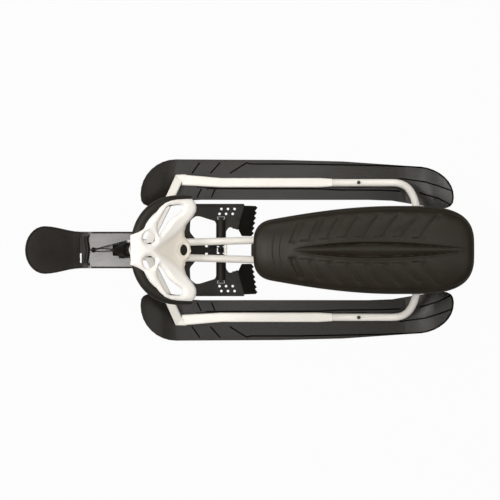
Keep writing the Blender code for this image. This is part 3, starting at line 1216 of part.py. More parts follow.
def build_tow_line():
    """The guide on the ski, the handle in its place, and the lines between guide, handle and fork."""
    floor = SKI_FLOOR_Z + GAP
    foot_top = floor + GUIDE_FOOT_HEIGHT
    major, minor = GUIDE_EYE_RADII
    guide = cylinder("cord_guide", GUIDE_FOOT_RADIUS, (GUIDE_X, 0, floor), (GUIDE_X, 0, foot_top),
                     "black_moulding")
    neck = cylinder("guide_neck", GUIDE_NECK_RADIUS, (GUIDE_X, 0, floor + GAP),
                    (GUIDE_X, 0, GUIDE_EYE_Z - major), segments=16)
    ring = tube("guide_eye", [(GUIDE_X, major * math.cos(a), GUIDE_EYE_Z + major * math.sin(a))
                              for a in (math.tau * step / 20 for step in range(20))], minor, cyclic=True)
    fuse(guide, neck, ring)

    half = HANDLE_BAR_LENGTH / 2
    bar_path = [(HANDLE_X + 0.002 * math.cos(math.pi * share), half * share, HANDLE_Z)
                for share in (step / 6 for step in range(-6, 7))]
    handle = tube("tow_handle", bar_path, HANDLE_BAR_RADIUS, "black_moulding", sides=4)
    stem_end = HANDLE_X + HANDLE_STEM_LENGTH
    fuse(handle, cylinder("handle_stem", HANDLE_STEM_RADIUS, (HANDLE_X + 0.002, 0, HANDLE_Z),
                          (stem_end, 0, HANDLE_Z), segments=16))
    line_end = (GUIDE_X - 2 * minor, 0, GUIDE_EYE_Z)
    start = (stem_end + GAP, 0, HANDLE_Z)
    bend = smooth_path([(start[0] + 0.0015, 0, HANDLE_Z), (line_end[0] - 0.0015, 0, GUIDE_EYE_Z)], 3)
    line = tube("tow_line", [start] + bend + [line_end], CORD_RADIUS, "black_cord", sides=2)

    mouth = steering_axis.matrix_world @ Vector((SPOUT_TIP_X - GAP, SPOUT_Y, SPOUT_HEIGHT))
    ahead = steering_axis.matrix_world @ Vector((SPOUT_TIP_X - 0.006, SPOUT_Y, SPOUT_HEIGHT))
    guide_end = Vector((line_end[0] + 2 * GAP, 0, GUIDE_EYE_Z))
    run = ahead - guide_end
    route = [ahead, guide_end + run * 0.6 + Vector((0, 0, 0.004)), guide_end + run * 0.25,
             guide_end + Vector((0.008, 0, 0.0006)), guide_end + Vector((0.003, 0, 0)), guide_end]
    cord = tube("tow_cord", [mouth] + smooth_path(route, 3), CORD_RADIUS, "black_cord", sides=2)

    nose = steering_axis.matrix_world @ Vector((-FORK_NOSE_REACH - GAP, 0, FORK_NOSE_HEIGHT))
    forward = (steering_axis.matrix_world.to_3x3() @ Vector((-1, 0, 0))).normalized()
    turn_radius = GUIDE_NECK_RADIUS + RETURN_CORD_RADIUS + GAP
    loop_z = foot_top + RETURN_CORD_RADIUS + GAP
    root = nose + Vector((0, RETURN_CORD_SPREAD, 0))
    side_path = [root + forward * 0.003, root + forward * 0.006 - Vector((0, 0, 0.001)),
                 Vector((GUIDE_X + 0.012, turn_radius, loop_z + 0.006)),
                 Vector((GUIDE_X + 0.003, turn_radius, loop_z))]
    bend = [Vector((GUIDE_X - turn_radius * math.sin(a), turn_radius * math.cos(a), loop_z))
            for a in (math.pi * step / 8 for step in range(9))]
    first = [root] + smooth_path(side_path, 3)
    loop = first + bend + [Vector((p.x, -p.y, p.z)) for p in reversed(first)]
    back = tube("return_cord", loop, RETURN_CORD_RADIUS, "black_cord", sides=2)
    for piece in (guide, handle, line, cord, back):
        hang(piece, ski_axis)


build_fork()
build_column()
build_wheel()
build_reel()
build_ski_pivot()
build_tow_line()


# Brake

def print_coil_gap(name, points, wire):
    """Print the least gap between the turns of a coil, measured on the points of its path."""
    spots = [Vector(point) for point in points]
    least = min((a - b).length for i, a in enumerate(spots) for b in spots[i + 6:]) - 2 * wire
    print(f"{name}: least gap to itself {least * 1000:.2f} mm")


def brake_fold_x(y):
    """Where the plate ends and the claws turn down, at a distance from the middle."""
    inner_x, inner_y = BRAKE_FOLD_INNER
    share = (y - inner_y) / (BRAKE_HALF_WIDTH - inner_y)
    return inner_x + (BRAKE_FOLD_OUTER_X - inner_x) * share


def build_brake_plate():
    """The foot plate: web, windows, grip holes, side lips and the barrel it turns on."""
    edge = BRAKE_HALF_WIDTH
    inner_x, inner_y = BRAKE_FOLD_INNER
    corner = arc((BRAKE_FRONT + BRAKE_CORNER, edge - BRAKE_CORNER), (BRAKE_CORNER, BRAKE_CORNER), 180, 90, 4)
    notch = filleted([(inner_x, inner_y)] + BRAKE_NOTCH + [(BRAKE_NOTCH_X, 0.0)], BRAKE_NOTCH_ROUND, 3)
    half = [(BRAKE_FRONT, 0.0)] + corner + [(BRAKE_FOLD_OUTER_X, edge)] + notch
    windows = []
    for side in (1, -1):
        windows.append(rounded([(x, side * y) for x, y in BRAKE_WINDOW], 0.006))
        windows.append(rounded([(x, side * y) for x, y in BRAKE_WAIST], 0.003))
        for row_y, row_x in BRAKE_HOLE_ROWS:
            for column in range(3):
                spot = (row_x + column * BRAKE_HOLE_PITCH, side * row_y)
                windows.append(circle(spot, BRAKE_HOLE_RADIUS, 4 + 8 * column))
    brake = plate("brake_plate", [both_sides(half)] + windows, BRAKE_BASE, BRAKE_TOP, "black_moulding",
                  brake_axis)
    barrel = cylinder("brake_barrel", BRAKE_BARREL_RADIUS, (0, -BRAKE_BARREL_HALF, 0),
                      (0, BRAKE_BARREL_HALF, 0), parent=brake_axis, segments=32)
    fuse(brake, barrel)
    for side in (-1, 1):
        low_y, high_y = sorted((side * (edge + BRAKE_LIP_WRAP), side * (edge - BRAKE_LIP_WIDTH)))
        fuse(brake, box(f"brake_lip_{side + 1}", (BRAKE_FRONT + BRAKE_CORNER, low_y, BRAKE_BASE - BRAKE_LIP_WRAP),
                        (BRAKE_FOLD_OUTER_X - 0.002, high_y, BRAKE_TOP + BRAKE_LIP_HEIGHT),
                        parent=brake_axis))
    reach = 2 * BRAKE_BARREL_RADIUS
    slot_half = HANGER_THICKNESS / 2 + 4 * GAP
    hanger_y = centre_rail_y(BRAKE_PIVOT_X)
    cut(brake, cylinder("brake_bore", BRAKE_ROD_RADIUS + GAP, (0, -ROD_CAP_Y - ROD_CAP_THICKNESS, 0),
                        (0, ROD_CAP_Y + ROD_CAP_THICKNESS, 0), parent=brake_axis))
    cut(brake, box("spring_pocket", (-reach, -SPRING_POCKET, -reach),
                   (BRAKE_NOTCH_X - BRAKE_NOTCH_RIM, SPRING_POCKET, reach),
                   parent=brake_axis))
    cap_reach = ROD_CAP_RADIUS + 2 * GAP
    for side in (-1, 1):
        low_y, high_y = sorted((side * (BRAKE_BARREL_HALF - GAP), side * (ROD_CAP_Y + ROD_CAP_THICKNESS + 2 * GAP)))
        cut(brake, box(f"rod_cap_slot_{side + 1}", (-cap_reach, low_y, -reach), (cap_reach, high_y, reach),
                       parent=brake_axis))
        low = (-reach, side * hanger_y - slot_half, -reach)
        high = (reach, side * hanger_y + slot_half, reach)
        cut(brake, box(f"hanger_slot_{side + 1}", low, high, parent=brake_axis))
        bolt_x, bolt_y = CLAW_BOLT_PLACE
        cut(brake, cylinder(f"claw_bolt_way_{side + 1}", CLAW_BOLT_RADIUS + BOLT_CLEARANCE,
                            (bolt_x, side * bolt_y, -reach), (bolt_x, side * bolt_y, reach),
                            parent=brake_axis, segments=12))


def claw_edge_x(y, outer_y):
    """The line through the tips of a claw's teeth, which reaches further towards the middle."""
    share = (outer_y - y) / (outer_y - CLAW_INNER_Y)
    return brake_fold_x(y) + CLAW_REACH + CLAW_INNER_REACH * share


def build_claws():
    """The toothed claws, bent down behind the plate, and the bolts that hold them."""
    outer_y = BRAKE_HALF_WIDTH - BRAKE_LIP_WIDTH - GAP
    tooth = (outer_y - CLAW_INNER_Y) / CLAW_TEETH
    flange = [(brake_fold_x(y) - CLAW_FLANGE, y) for y in (BRAKE_FOLD_INNER[1] + 0.004, outer_y)]
    teeth = []
    for index in range(CLAW_TEETH):
        root_y = outer_y - tooth * index
        teeth.append((claw_edge_x(root_y, outer_y) - CLAW_TOOTH_DEPTH, root_y))
        teeth.append((claw_edge_x(root_y, outer_y), root_y - tooth * 0.35))
    teeth.append((claw_edge_x(CLAW_INNER_Y, outer_y) - CLAW_TOOTH_DEPTH, CLAW_INNER_Y))
    inner_edge = [(brake_fold_x(CLAW_INNER_Y) + CLAW_REACH * 0.42, CLAW_INNER_Y),
                  (BRAKE_FOLD_INNER[0] + 0.002, BRAKE_FOLD_INNER[1] + 0.002)]
    outline = flange[:1] + inner_edge[::-1] + teeth[::-1] + flange[1:]
    claw = plate("brake_claw_right", [outline], BRAKE_BASE - GAP - CLAW_THICKNESS, BRAKE_BASE - GAP, "black_steel",
                 brake_axis)
    fold = Vector((BRAKE_FOLD_OUTER_X, BRAKE_HALF_WIDTH, 0))
    along = (fold - Vector((*BRAKE_FOLD_INNER, 0))).normalized()
    across = Vector((along.y, -along.x, 0))

    def droop(co):
        return Vector((co.x, co.y, co.z - CLAW_SLOPE * max(0.0, (co - fold).dot(across))))

    claw = reshape(claw, droop, [(fold, across)])
    bolt_x, bolt_y = CLAW_BOLT_PLACE
    cut(claw, cylinder("claw_bolt_way", CLAW_BOLT_RADIUS + BOLT_CLEARANCE, (bolt_x, bolt_y, -0.02),
                       (bolt_x, bolt_y, 0.02), parent=brake_axis, segments=12))
    head_radius, head_height = CLAW_BOLT_HEAD
    top = BRAKE_TOP + GAP
    bolt = cylinder("claw_bolt_right", CLAW_BOLT_RADIUS, (bolt_x, bolt_y, BRAKE_BASE - CLAW_THICKNESS - GAP),
                    (bolt_x, bolt_y, top + head_height / 2), "black_steel", brake_axis, 12)
    fuse(bolt, cylinder("claw_bolt_head", head_radius, (bolt_x, bolt_y, top),
                        (bolt_x, bolt_y, top + head_height), parent=brake_axis, segments=16))
    mirrored(claw, "brake_claw_left")
    mirrored(bolt, "claw_bolt_left")


def build_brake_mount():
    """Hangers under the rails, the rod with its end caps, the return spring and the stop pin."""
    hanger_y = centre_rail_y(BRAKE_PIVOT_X)
    low_y, high_y = hanger_y - HANGER_THICKNESS / 2, hanger_y + HANGER_THICKNESS / 2
    half_top = HANGER_TOP_LENGTH / 2

    def rail_underside(x):
        return centre_rail_z(x) - CENTRE_RAIL_RADIUS - GAP

    stop_x, stop_z = BRAKE_PIVOT_X - STOP_PIN_FORWARD, BRAKE_PIVOT_Z + BRAKE_BASE - STOP_PIN_RADIUS - GAP
    eye = arc((BRAKE_PIVOT_X, BRAKE_PIVOT_Z), (HANGER_EYE_RADIUS, HANGER_EYE_RADIUS), 10, -100, 8)
    lug = arc((stop_x, stop_z), (STOP_LUG_RADIUS, STOP_LUG_RADIUS), -80, -190, 6)
    outline = [(BRAKE_PIVOT_X + half_top, rail_underside(BRAKE_PIVOT_X + half_top))] + eye + lug
    outline.append((BRAKE_PIVOT_X - half_top, rail_underside(BRAKE_PIVOT_X - half_top)))
    hanger = side_plate("brake_hanger_right", [outline], low_y, high_y, "white_paint")
    cut(hanger, cylinder("hanger_bore", BRAKE_ROD_RADIUS + GAP, (BRAKE_PIVOT_X, 0, BRAKE_PIVOT_Z),
                         (BRAKE_PIVOT_X, 2 * high_y, BRAKE_PIVOT_Z)),
        cylinder("stop_pin_bore", STOP_PIN_RADIUS + GAP, (stop_x, 0, stop_z), (stop_x, 2 * high_y, stop_z),
                 segments=16))
    mirrored(hanger, "brake_hanger_left")
    cylinder("brake_stop_pin", STOP_PIN_RADIUS, (stop_x, -high_y - 2 * GAP, stop_z),
             (stop_x, high_y + 2 * GAP, stop_z), "zinc_steel", segments=16)
    end = ROD_CAP_Y
    cylinder("brake_pivot_rod", BRAKE_ROD_RADIUS, (BRAKE_PIVOT_X, -end - ROD_CAP_THICKNESS * 0.7, BRAKE_PIVOT_Z),
             (BRAKE_PIVOT_X, end + ROD_CAP_THICKNESS * 0.7, BRAKE_PIVOT_Z), "zinc_steel")
    cap = cylinder("rod_cap_right", ROD_CAP_RADIUS, (BRAKE_PIVOT_X, end, BRAKE_PIVOT_Z),
                   (BRAKE_PIVOT_X, end + ROD_CAP_THICKNESS, BRAKE_PIVOT_Z), "black_moulding")
    cut(cap, cylinder("rod_cap_bore", BRAKE_ROD_RADIUS + GAP, (BRAKE_PIVOT_X, 0, BRAKE_PIVOT_Z),
                      (BRAKE_PIVOT_X, end + ROD_CAP_THICKNESS * 0.7 + GAP, BRAKE_PIVOT_Z)))
    mirrored(cap, "rod_cap_left")

    side = SPRING_TURNS * SPRING_PITCH / 2
    turns = SPRING_TURNS + 0.25
    steps = round(10 * turns)
    coil = []
    for step in range(steps + 1):
        angle = math.tau * turns * step / steps
        coil.append((BRAKE_PIVOT_X + SPRING_RADIUS * math.cos(angle), -side + 2 * side * step / steps,
                     BRAKE_PIVOT_Z - SPRING_RADIUS * math.sin(angle)))
    bar_z = centre_rail_z(BRAKE_PIVOT_X + CROSS_BAR_BACK)
    leg_x = BRAKE_PIVOT_X + CROSS_BAR_BACK - CROSS_BAR_RADIUS - SPRING_WIRE - 2 * GAP
    held_leg = [(leg_x, -side, bar_z + CROSS_BAR_RADIUS), (leg_x, -side, bar_z - 2 * CROSS_BAR_RADIUS)]
    rest = BRAKE_TOP + SPRING_WIRE + GAP
    pushing_leg = [(BRAKE_PIVOT_X + x, side, BRAKE_PIVOT_Z + z)
                   for x, z in ((-0.012, -0.0052), (-0.018, 0.0042), (-0.022, rest), (-0.036, rest))]
    tube("brake_spring", held_leg + coil + pushing_leg, SPRING_WIRE, "zinc_steel", sides=1)
    print_coil_gap("brake_spring", coil, SPRING_WIRE)


# Seat

def seat_half_width(s):
    """Half the seat's width at a distance behind its nose."""
    share = s / SEAT_LENGTH
    body = SEAT_NOSE_SHARE + (1 - SEAT_NOSE_SHARE) * math.sin(math.pi / 2 * min(1.0, share / 0.65))
    nose = (1 - max(0.0, 1 - share / 0.09) ** 3) ** (1 / 3)
    tail = (1 - max(0.0, (share - 0.70) / 0.30) ** 2.9) ** (1 / 2.9)
    return SEAT_HALF_WIDTH * body * nose * tail


def seat_top(s):
    """Height of the pad above its underside, along its middle."""
    share = s / SEAT_LENGTH
    nose = (1 - max(0.0, 1 - s / SEAT_NOSE_ROUND) ** 2.4) ** (1 / 2.4)
    tail = (1 - max(0.0, (s - SEAT_LENGTH) / SEAT_TAIL_ROUND + 1) ** 2.4) ** (1 / 2.4)
    level = SEAT_NOSE_HEIGHT + (SEAT_HEIGHT - SEAT_NOSE_HEIGHT) * ease(share / 0.45)
    level += SEAT_TAIL_KICK * ease((share - 0.55) / 0.4)
    return SEAT_BOTTOM_SIDE + (level - SEAT_BOTTOM_SIDE) * nose * tail


def spine_half_width(s):
    """Half the width of the lens that runs down the middle of the seat."""
    share = (s - SEAT_SPINE_START) / (SEAT_LENGTH - SEAT_SPINE_END - SEAT_SPINE_START)
    return 0.003 + SEAT_SPINE_HALF * max(0.0, math.sin(math.pi * min(1.0, max(0.0, share)))) ** 0.8


def seat_columns():
    """Stations along the seat: place at the middle, lean of the outer end, and depth of a channel."""
    first, last = SEAT_CHANNEL_LEANS
    columns = [(s, 0.0, 0.0) for s in (0.0015, 0.006, 0.014, 0.028, 0.048, 0.072)]
    for index in range(SEAT_CHANNELS):
        s = SEAT_CHANNEL_FIRST + SEAT_CHANNEL_PITCH * index
        lean = first + (last - first) * index / (SEAT_CHANNELS - 1)
        half = SEAT_CHANNEL_WIDTH / 2
        columns += [(s - half, lean, 0.0), (s, lean, SEAT_CHANNEL_DEPTH), (s + half, lean, 0.0)]
    return columns + [(SEAT_LENGTH - s, 0.0, 0.0) for s in (0.074, 0.052, 0.034, 0.020, 0.009, SEAT_END_TRIM)]


def build_seat():
    """The padded seat on its pan, the straps under the pan and the bolts through them."""
    bottom = CENTRE_RAIL_TOP_Z + CENTRE_RAIL_RADIUS + STRAP_THICKNESS + PAN_THICKNESS + 3 * GAP
    nose_x = REAR_X + SEAT_END_TRIM - SEAT_LENGTH
    rings = []
    for s, lean, depth in seat_columns():
        side = []
        spine = spine_half_width(s)
        for share, sink in SEAT_ROWS:
            spot = s + lean * share
            half = seat_half_width(spot)
            y = spine + (half - spine) * share
            z = seat_top(spot) - SEAT_CROWN * (y / SEAT_HALF_WIDTH) ** 2 - depth * sink
            side.append((nose_x + spot, y, bottom + z))
        spot = s + lean
        half, top = seat_half_width(spot), seat_top(spot)
        side.append((nose_x + spot, half, bottom + SEAT_BOTTOM_SIDE + (top - SEAT_BOTTOM_SIDE) * 0.35))
        side.append((nose_x + spot, half - 0.0015, bottom + SEAT_BOTTOM_SIDE * 0.5))
        side.append((nose_x + spot, half - min(0.006, half * 0.1), bottom))
        ridge = SEAT_SPINE_DEPTH * min(1.0, spine / SEAT_SPINE_HALF)
        middle = (nose_x + s, 0.0, bottom + seat_top(s) - ridge * 0.4)
        flank = (nose_x + s, spine * 0.55, bottom + seat_top(s) - ridge)
        right = [flank] + side
        rings.append([middle] + right + [(x, -y, z) for x, y, z in reversed(right)])
    loft("seat_pad", rings, "black_seat_skin")

    pan_top = bottom - GAP
    steps = 22
    half = []
    for step in range(steps + 1):
        s = PAN_INSET + (SEAT_LENGTH - 2 * PAN_INSET) * (1 - math.cos(math.pi * step / steps)) / 2
        half.append((nose_x + s, max(0.0, seat_half_width(s) - PAN_INSET)))
    tab_x, tab_half = nose_x - PAN_TAB[0], PAN_TAB[1]
    half = [(tab_x, 0.0), (tab_x, tab_half * 0.8), (tab_x + 0.003, tab_half), (nose_x + PAN_INSET, tab_half)] + half
    pan = plate("seat_pan", [both_sides(half)], pan_top - PAN_THICKNESS, pan_top, "black_moulding")
    rib_start, rib_end = (nose_x + share * SEAT_LENGTH for share in PAN_RIB_SPAN)
    for side in (-1, 1):
        y = side * PAN_RIB_Y
        fuse(pan, box(f"pan_rib_{side + 1}", (rib_start, y - PAN_RIB_WIDTH / 2, pan_top - PAN_THICKNESS - PAN_RIB_DEPTH),
                      (rib_end, y + PAN_RIB_WIDTH / 2, pan_top - PAN_THICKNESS / 2)))
    strap_top = pan_top - PAN_THICKNESS - GAP
    for place, x in zip(("front", "rear"), STRAP_XS):
        reach = centre_rail_y(x) + CENTRE_RAIL_RADIUS + STRAP_OVERHANG
        strap = box(f"seat_strap_{place}", (x - STRAP_WIDTH / 2, -reach, strap_top - STRAP_THICKNESS),
                    (x + STRAP_WIDTH / 2, reach, strap_top), "white_paint")
        for piece in (strap, pan):
            cut(piece, cylinder(f"{piece.name}_{place}_bolt_way", SEAT_BOLT_RADIUS + BOLT_CLEARANCE,
                                (x, 0, strap_top - 0.02), (x, 0, pan_top + 0.02), segments=12))
        radius, height = SEAT_BOLT_HEAD
        under = strap_top - STRAP_THICKNESS - GAP
        bolt = cylinder(f"seat_bolt_{place}", SEAT_BOLT_RADIUS, (x, 0, under - height / 2),
                        (x, 0, pan_top - GAP), "zinc_steel", segments=12)
        fuse(bolt, hex_prism(f"seat_bolt_{place}_head", radius, (x, 0, under - height), (x, 0, under)))


build_brake_plate()
build_claws()
build_brake_mount()
build_seat()
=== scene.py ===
"""Looks of a steering sled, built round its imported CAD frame.

The sled points along -X, +Y is the rider's right-hand side and +Z is up. All lengths are metres, but
outlines and routes whose comments say so are millimetres, and angles are degrees. Pieces of the
steering are shaped in the frame of the steering axis, whose local Z runs up the column and whose
local X points back to the rider.
"""
from __future__ import annotations

import json
import logging
import math
from collections.abc import Iterable, Sequence
from dataclasses import dataclass, field, replace
from enum import Enum
from itertools import pairwise

import bmesh
import bpy
from mathutils import Matrix, Vector

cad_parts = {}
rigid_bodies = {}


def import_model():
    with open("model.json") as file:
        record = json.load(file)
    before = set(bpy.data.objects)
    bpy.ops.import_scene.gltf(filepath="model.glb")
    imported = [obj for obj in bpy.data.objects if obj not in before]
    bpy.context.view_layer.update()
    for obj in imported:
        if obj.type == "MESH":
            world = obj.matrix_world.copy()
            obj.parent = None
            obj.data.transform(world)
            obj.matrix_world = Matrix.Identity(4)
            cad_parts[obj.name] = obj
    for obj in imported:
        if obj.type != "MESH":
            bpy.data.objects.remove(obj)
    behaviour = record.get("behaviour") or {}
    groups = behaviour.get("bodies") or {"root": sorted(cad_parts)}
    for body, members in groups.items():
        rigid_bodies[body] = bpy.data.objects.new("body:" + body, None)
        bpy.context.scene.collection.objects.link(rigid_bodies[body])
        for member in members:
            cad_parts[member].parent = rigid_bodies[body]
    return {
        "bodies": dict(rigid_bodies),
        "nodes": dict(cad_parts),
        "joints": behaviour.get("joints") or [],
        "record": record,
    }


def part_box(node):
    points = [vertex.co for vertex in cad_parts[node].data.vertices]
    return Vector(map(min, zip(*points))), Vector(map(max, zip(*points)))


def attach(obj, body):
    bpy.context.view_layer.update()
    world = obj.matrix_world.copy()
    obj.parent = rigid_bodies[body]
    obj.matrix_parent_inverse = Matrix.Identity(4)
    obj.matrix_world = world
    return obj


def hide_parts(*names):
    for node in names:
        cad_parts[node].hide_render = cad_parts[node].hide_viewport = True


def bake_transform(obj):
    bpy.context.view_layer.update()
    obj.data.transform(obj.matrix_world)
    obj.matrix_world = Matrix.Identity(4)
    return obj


LOG = logging.getLogger("steering_sled")
MM = 0.001
UP = Vector((0, 0, 1))
MERGE_DISTANCE = 1e-6
# The least angles at which an edge is sharp, and at which two faces aren't one plane.
SHARP = 35.0
FLAT = 0.4
EDGE_SEGMENTS = 2
GROOVE_STEEPNESS = 1.6
# What stands for the squared length of a segment that has none.
TINY = 1e-12
Points = Sequence[tuple[float, float]]


class Side(Enum):
    """The two sides of the sled, with the sign of Y on each."""

    LEFT = -1
    RIGHT = 1


class Grain(Enum):
    """The relief of a surface."""

    PEEL = "soft waves of sprayed powder or paint"
    STIPPLE = "spark-eroded mould texture"
    PEBBLE = "pebbled skin"


# Materials

GRAIN_DETAIL = {Grain.PEEL: 1.0, Grain.STIPPLE: 4.0}
# The sockets of a Mix node that mixes colours: share, first tone, second tone and result.
MIX_SHARE, MIX_FIRST, MIX_SECOND, MIXED = 0, 6, 7, 2


def linear_colour(code: str) -> tuple[float, float, float, float]:
    """Turn an sRGB hex code into the linear colour that a shader takes, by the sRGB curve.

    Args:
        code: Seven characters, such as "#F4F1E8".

    Returns:
        Red, green, blue and an alpha of 1.
    """
    channels = [int(code[start:start + 2], 16) / 255 for start in (1, 3, 5)]
    linear = [c / 12.92 if c <= 0.04045 else ((c + 0.055) / 1.055) ** 2.4 for c in channels]
    return (*linear, 1.0)


def add_node(tree: bpy.types.NodeTree, kind: str, sockets: dict | None = None,
             **settings: object) -> bpy.types.Node:
    """Add a node, set its properties and fill its sockets.

    Args:
        tree: The node tree that takes the node.
        kind: The node's type.
        sockets: Input name or index, with a value or with the socket to link from.
        **settings: Properties of the node itself.

    Returns:
        The new node.
    """
    node = tree.nodes.new(kind)
    for name, value in settings.items():
        setattr(node, name, value)
    for key, value in (sockets or {}).items():
        if isinstance(value, bpy.types.NodeSocket):
            tree.links.new(value, node.inputs[key])
        else:
            node.inputs[key].default_value = value
    return node


@dataclass(frozen=True)
class Finish:
    """A surface finish: two close tones, a range of gloss and a relief.

    The patterns read Object coordinates, so their sizes are real ones. The grain is the fine relief, the
    patches are the slow change of tone and gloss, and the scuffs are hair scratches along the sled.
    """

    name: str
    tone: str
    second_tone: str
    gloss: tuple[float, float]
    grain: Grain = Grain.PEEL
    grain_size: float = 1.6 * MM
    grain_depth: float = 0.02 * MM
    patch_size: float = 60 * MM
    grain_softness: float = 0.6
    patch_detail: float = 5.0
    patch_roughness: float = 0.65
    patch_range: tuple[float, float] = (0.35, 0.65)
    stretch: float = 1.0
    metallic: float = 0.0
    ior: float = 1.5
    specular: float = 0.5
    sheen: float = 0.0
    scuff_tone: str = ""
    scuff_share: float = 0.0
    scuff_spacing: float = 2.381 * MM
    scuff_stretch: float = 30.0
    scuff_detail: float = 3.0
    scuff_range: tuple[float, float] = (0.60, 0.72)

    def coordinates(self, tree: bpy.types.NodeTree, stretch: float = 1.0) -> bpy.types.NodeSocket:
        """Add Object coordinates that are drawn out along the sled.

        Args:
            tree: The material's nodes.
            stretch: How many times longer a pattern is along X.

        Returns:
            The socket that gives them.
        """
        place = add_node(tree, "ShaderNodeTexCoord")
        mapping = add_node(tree, "ShaderNodeMapping",
                           {"Vector": place.outputs["Object"], "Scale": (1 / stretch, 1.0, 1.0)})
        return mapping.outputs["Vector"]

    def relief(self, tree: bpy.types.NodeTree) -> bpy.types.NodeSocket:
        """Add the grain.

        Args:
            tree: The material's nodes.

        Returns:
            The socket that gives its height, from 0 to 1.
        """
        sockets = {"Vector": self.coordinates(tree), "Scale": 1 / self.grain_size}
        if self.grain is Grain.PEBBLE:
            cells = add_node(tree, "ShaderNodeTexVoronoi", {**sockets, "Smoothness": self.grain_softness},
                             feature="SMOOTH_F1")
            return cells.outputs["Distance"]
        waves = add_node(tree, "ShaderNodeTexNoise",
                         {**sockets, "Detail": GRAIN_DETAIL[self.grain], "Roughness": self.grain_softness})
        return waves.outputs["Fac"]

    def patches(self, tree: bpy.types.NodeTree) -> bpy.types.NodeSocket:
        """Add the slow change of tone and gloss over the surface.

        Args:
            tree: The material's nodes.

        Returns:
            The socket that gives it, from 0 to 1.
        """
        low, high = self.patch_range
        cloud = add_node(tree, "ShaderNodeTexNoise",
                         {"Vector": self.coordinates(tree, self.stretch), "Scale": 1 / self.patch_size,
                          "Detail": self.patch_detail, "Roughness": self.patch_roughness})
        spread = add_node(tree, "ShaderNodeMapRange",
                          {"Value": cloud.outputs["Fac"], "From Min": low, "From Max": high})
        return spread.outputs["Result"]

    def colour(self, tree: bpy.types.NodeTree, cloud: bpy.types.NodeSocket) -> bpy.types.NodeSocket:
        """Mix the two tones, and lay scuffs over them where the finish has some.

        Args:
            tree: The material's nodes.
            cloud: The share of the second tone.

        Returns:
            The socket that gives the colour.
        """
        tones = add_node(tree, "ShaderNodeMix",
                         {MIX_SHARE: cloud, MIX_FIRST: linear_colour(self.tone),
                          MIX_SECOND: linear_colour(self.second_tone)}, data_type="RGBA")
        if not self.scuff_tone:
            return tones.outputs[MIXED]
        low, high = self.scuff_range
        lines = add_node(tree, "ShaderNodeTexNoise",
                         {"Vector": self.coordinates(tree, self.scuff_stretch),
                          "Scale": 1 / self.scuff_spacing, "Detail": self.scuff_detail})
        thin = add_node(tree, "ShaderNodeMapRange",
                        {"Value": lines.outputs["Fac"], "From Min": low, "From Max": high,
                         "To Max": self.scuff_share})
        scuffed = add_node(tree, "ShaderNodeMix",
                           {MIX_SHARE: thin.outputs["Result"], MIX_FIRST: tones.outputs[MIXED],
                            MIX_SECOND: linear_colour(self.scuff_tone)}, data_type="RGBA")
        return scuffed.outputs[MIXED]

    def make(self) -> bpy.types.Material:
        """Build the material.

        Returns:
            A material with a Principled shader.
        """
        material = bpy.data.materials.new(self.name)
        material.use_nodes = True
        tree = material.node_tree
        shader = tree.nodes["Principled BSDF"]
        cloud = self.patches(tree)
        rough, rougher = self.gloss
        gloss = add_node(tree, "ShaderNodeMapRange", {"Value": cloud, "To Min": rough, "To Max": rougher})
        bump = add_node(tree, "ShaderNodeBump",
                        {"Height": self.relief(tree), "Distance": self.grain_depth, "Strength": 1.0})
        tree.links.new(self.colour(tree, cloud), shader.inputs["Base Color"])
        tree.links.new(gloss.outputs["Result"], shader.inputs["Roughness"])
        tree.links.new(bump.outputs["Normal"], shader.inputs["Normal"])
        shader.inputs["Metallic"].default_value = self.metallic
        if not self.metallic:
            shader.inputs["IOR"].default_value = self.ior
            shader.inputs["Specular IOR Level"].default_value = self.specular
        shader.inputs["Sheen Weight"].default_value = self.sheen
        self.extra(tree, shader)
        material.diffuse_color = linear_colour(self.tone)
        return material

    def extra(self, tree: bpy.types.NodeTree, shader: bpy.types.Node) -> None:
        """Let a finish of this kind add to the shader."""


@dataclass(frozen=True)
class ShadedSunkMoulding(Finish):
    """A moulding with painted shade in its sunk places: a greyer tone, by the share that its mesh holds as an
    attribute.
    """

    sunk_shade_tone: str = "#E2DCCF"

    def colour(self, tree: bpy.types.NodeTree, cloud: bpy.types.NodeSocket) -> bpy.types.NodeSocket:
        """Mix the tones, then the painted shade of the sunk places by the attribute.

        Args:
            tree: The material's nodes.
            cloud: The share of the second tone.

        Returns:
            The socket that gives the colour.
        """
        plain = super().colour(tree, cloud)
        share = add_node(tree, "ShaderNodeAttribute", attribute_name="sunk")
        mixed = add_node(tree, "ShaderNodeMix",
                         {MIX_SHARE: share.outputs["Fac"], MIX_FIRST: plain,
                          MIX_SECOND: linear_colour(self.sunk_shade_tone)}, data_type="RGBA")
        return mixed.outputs[MIXED]


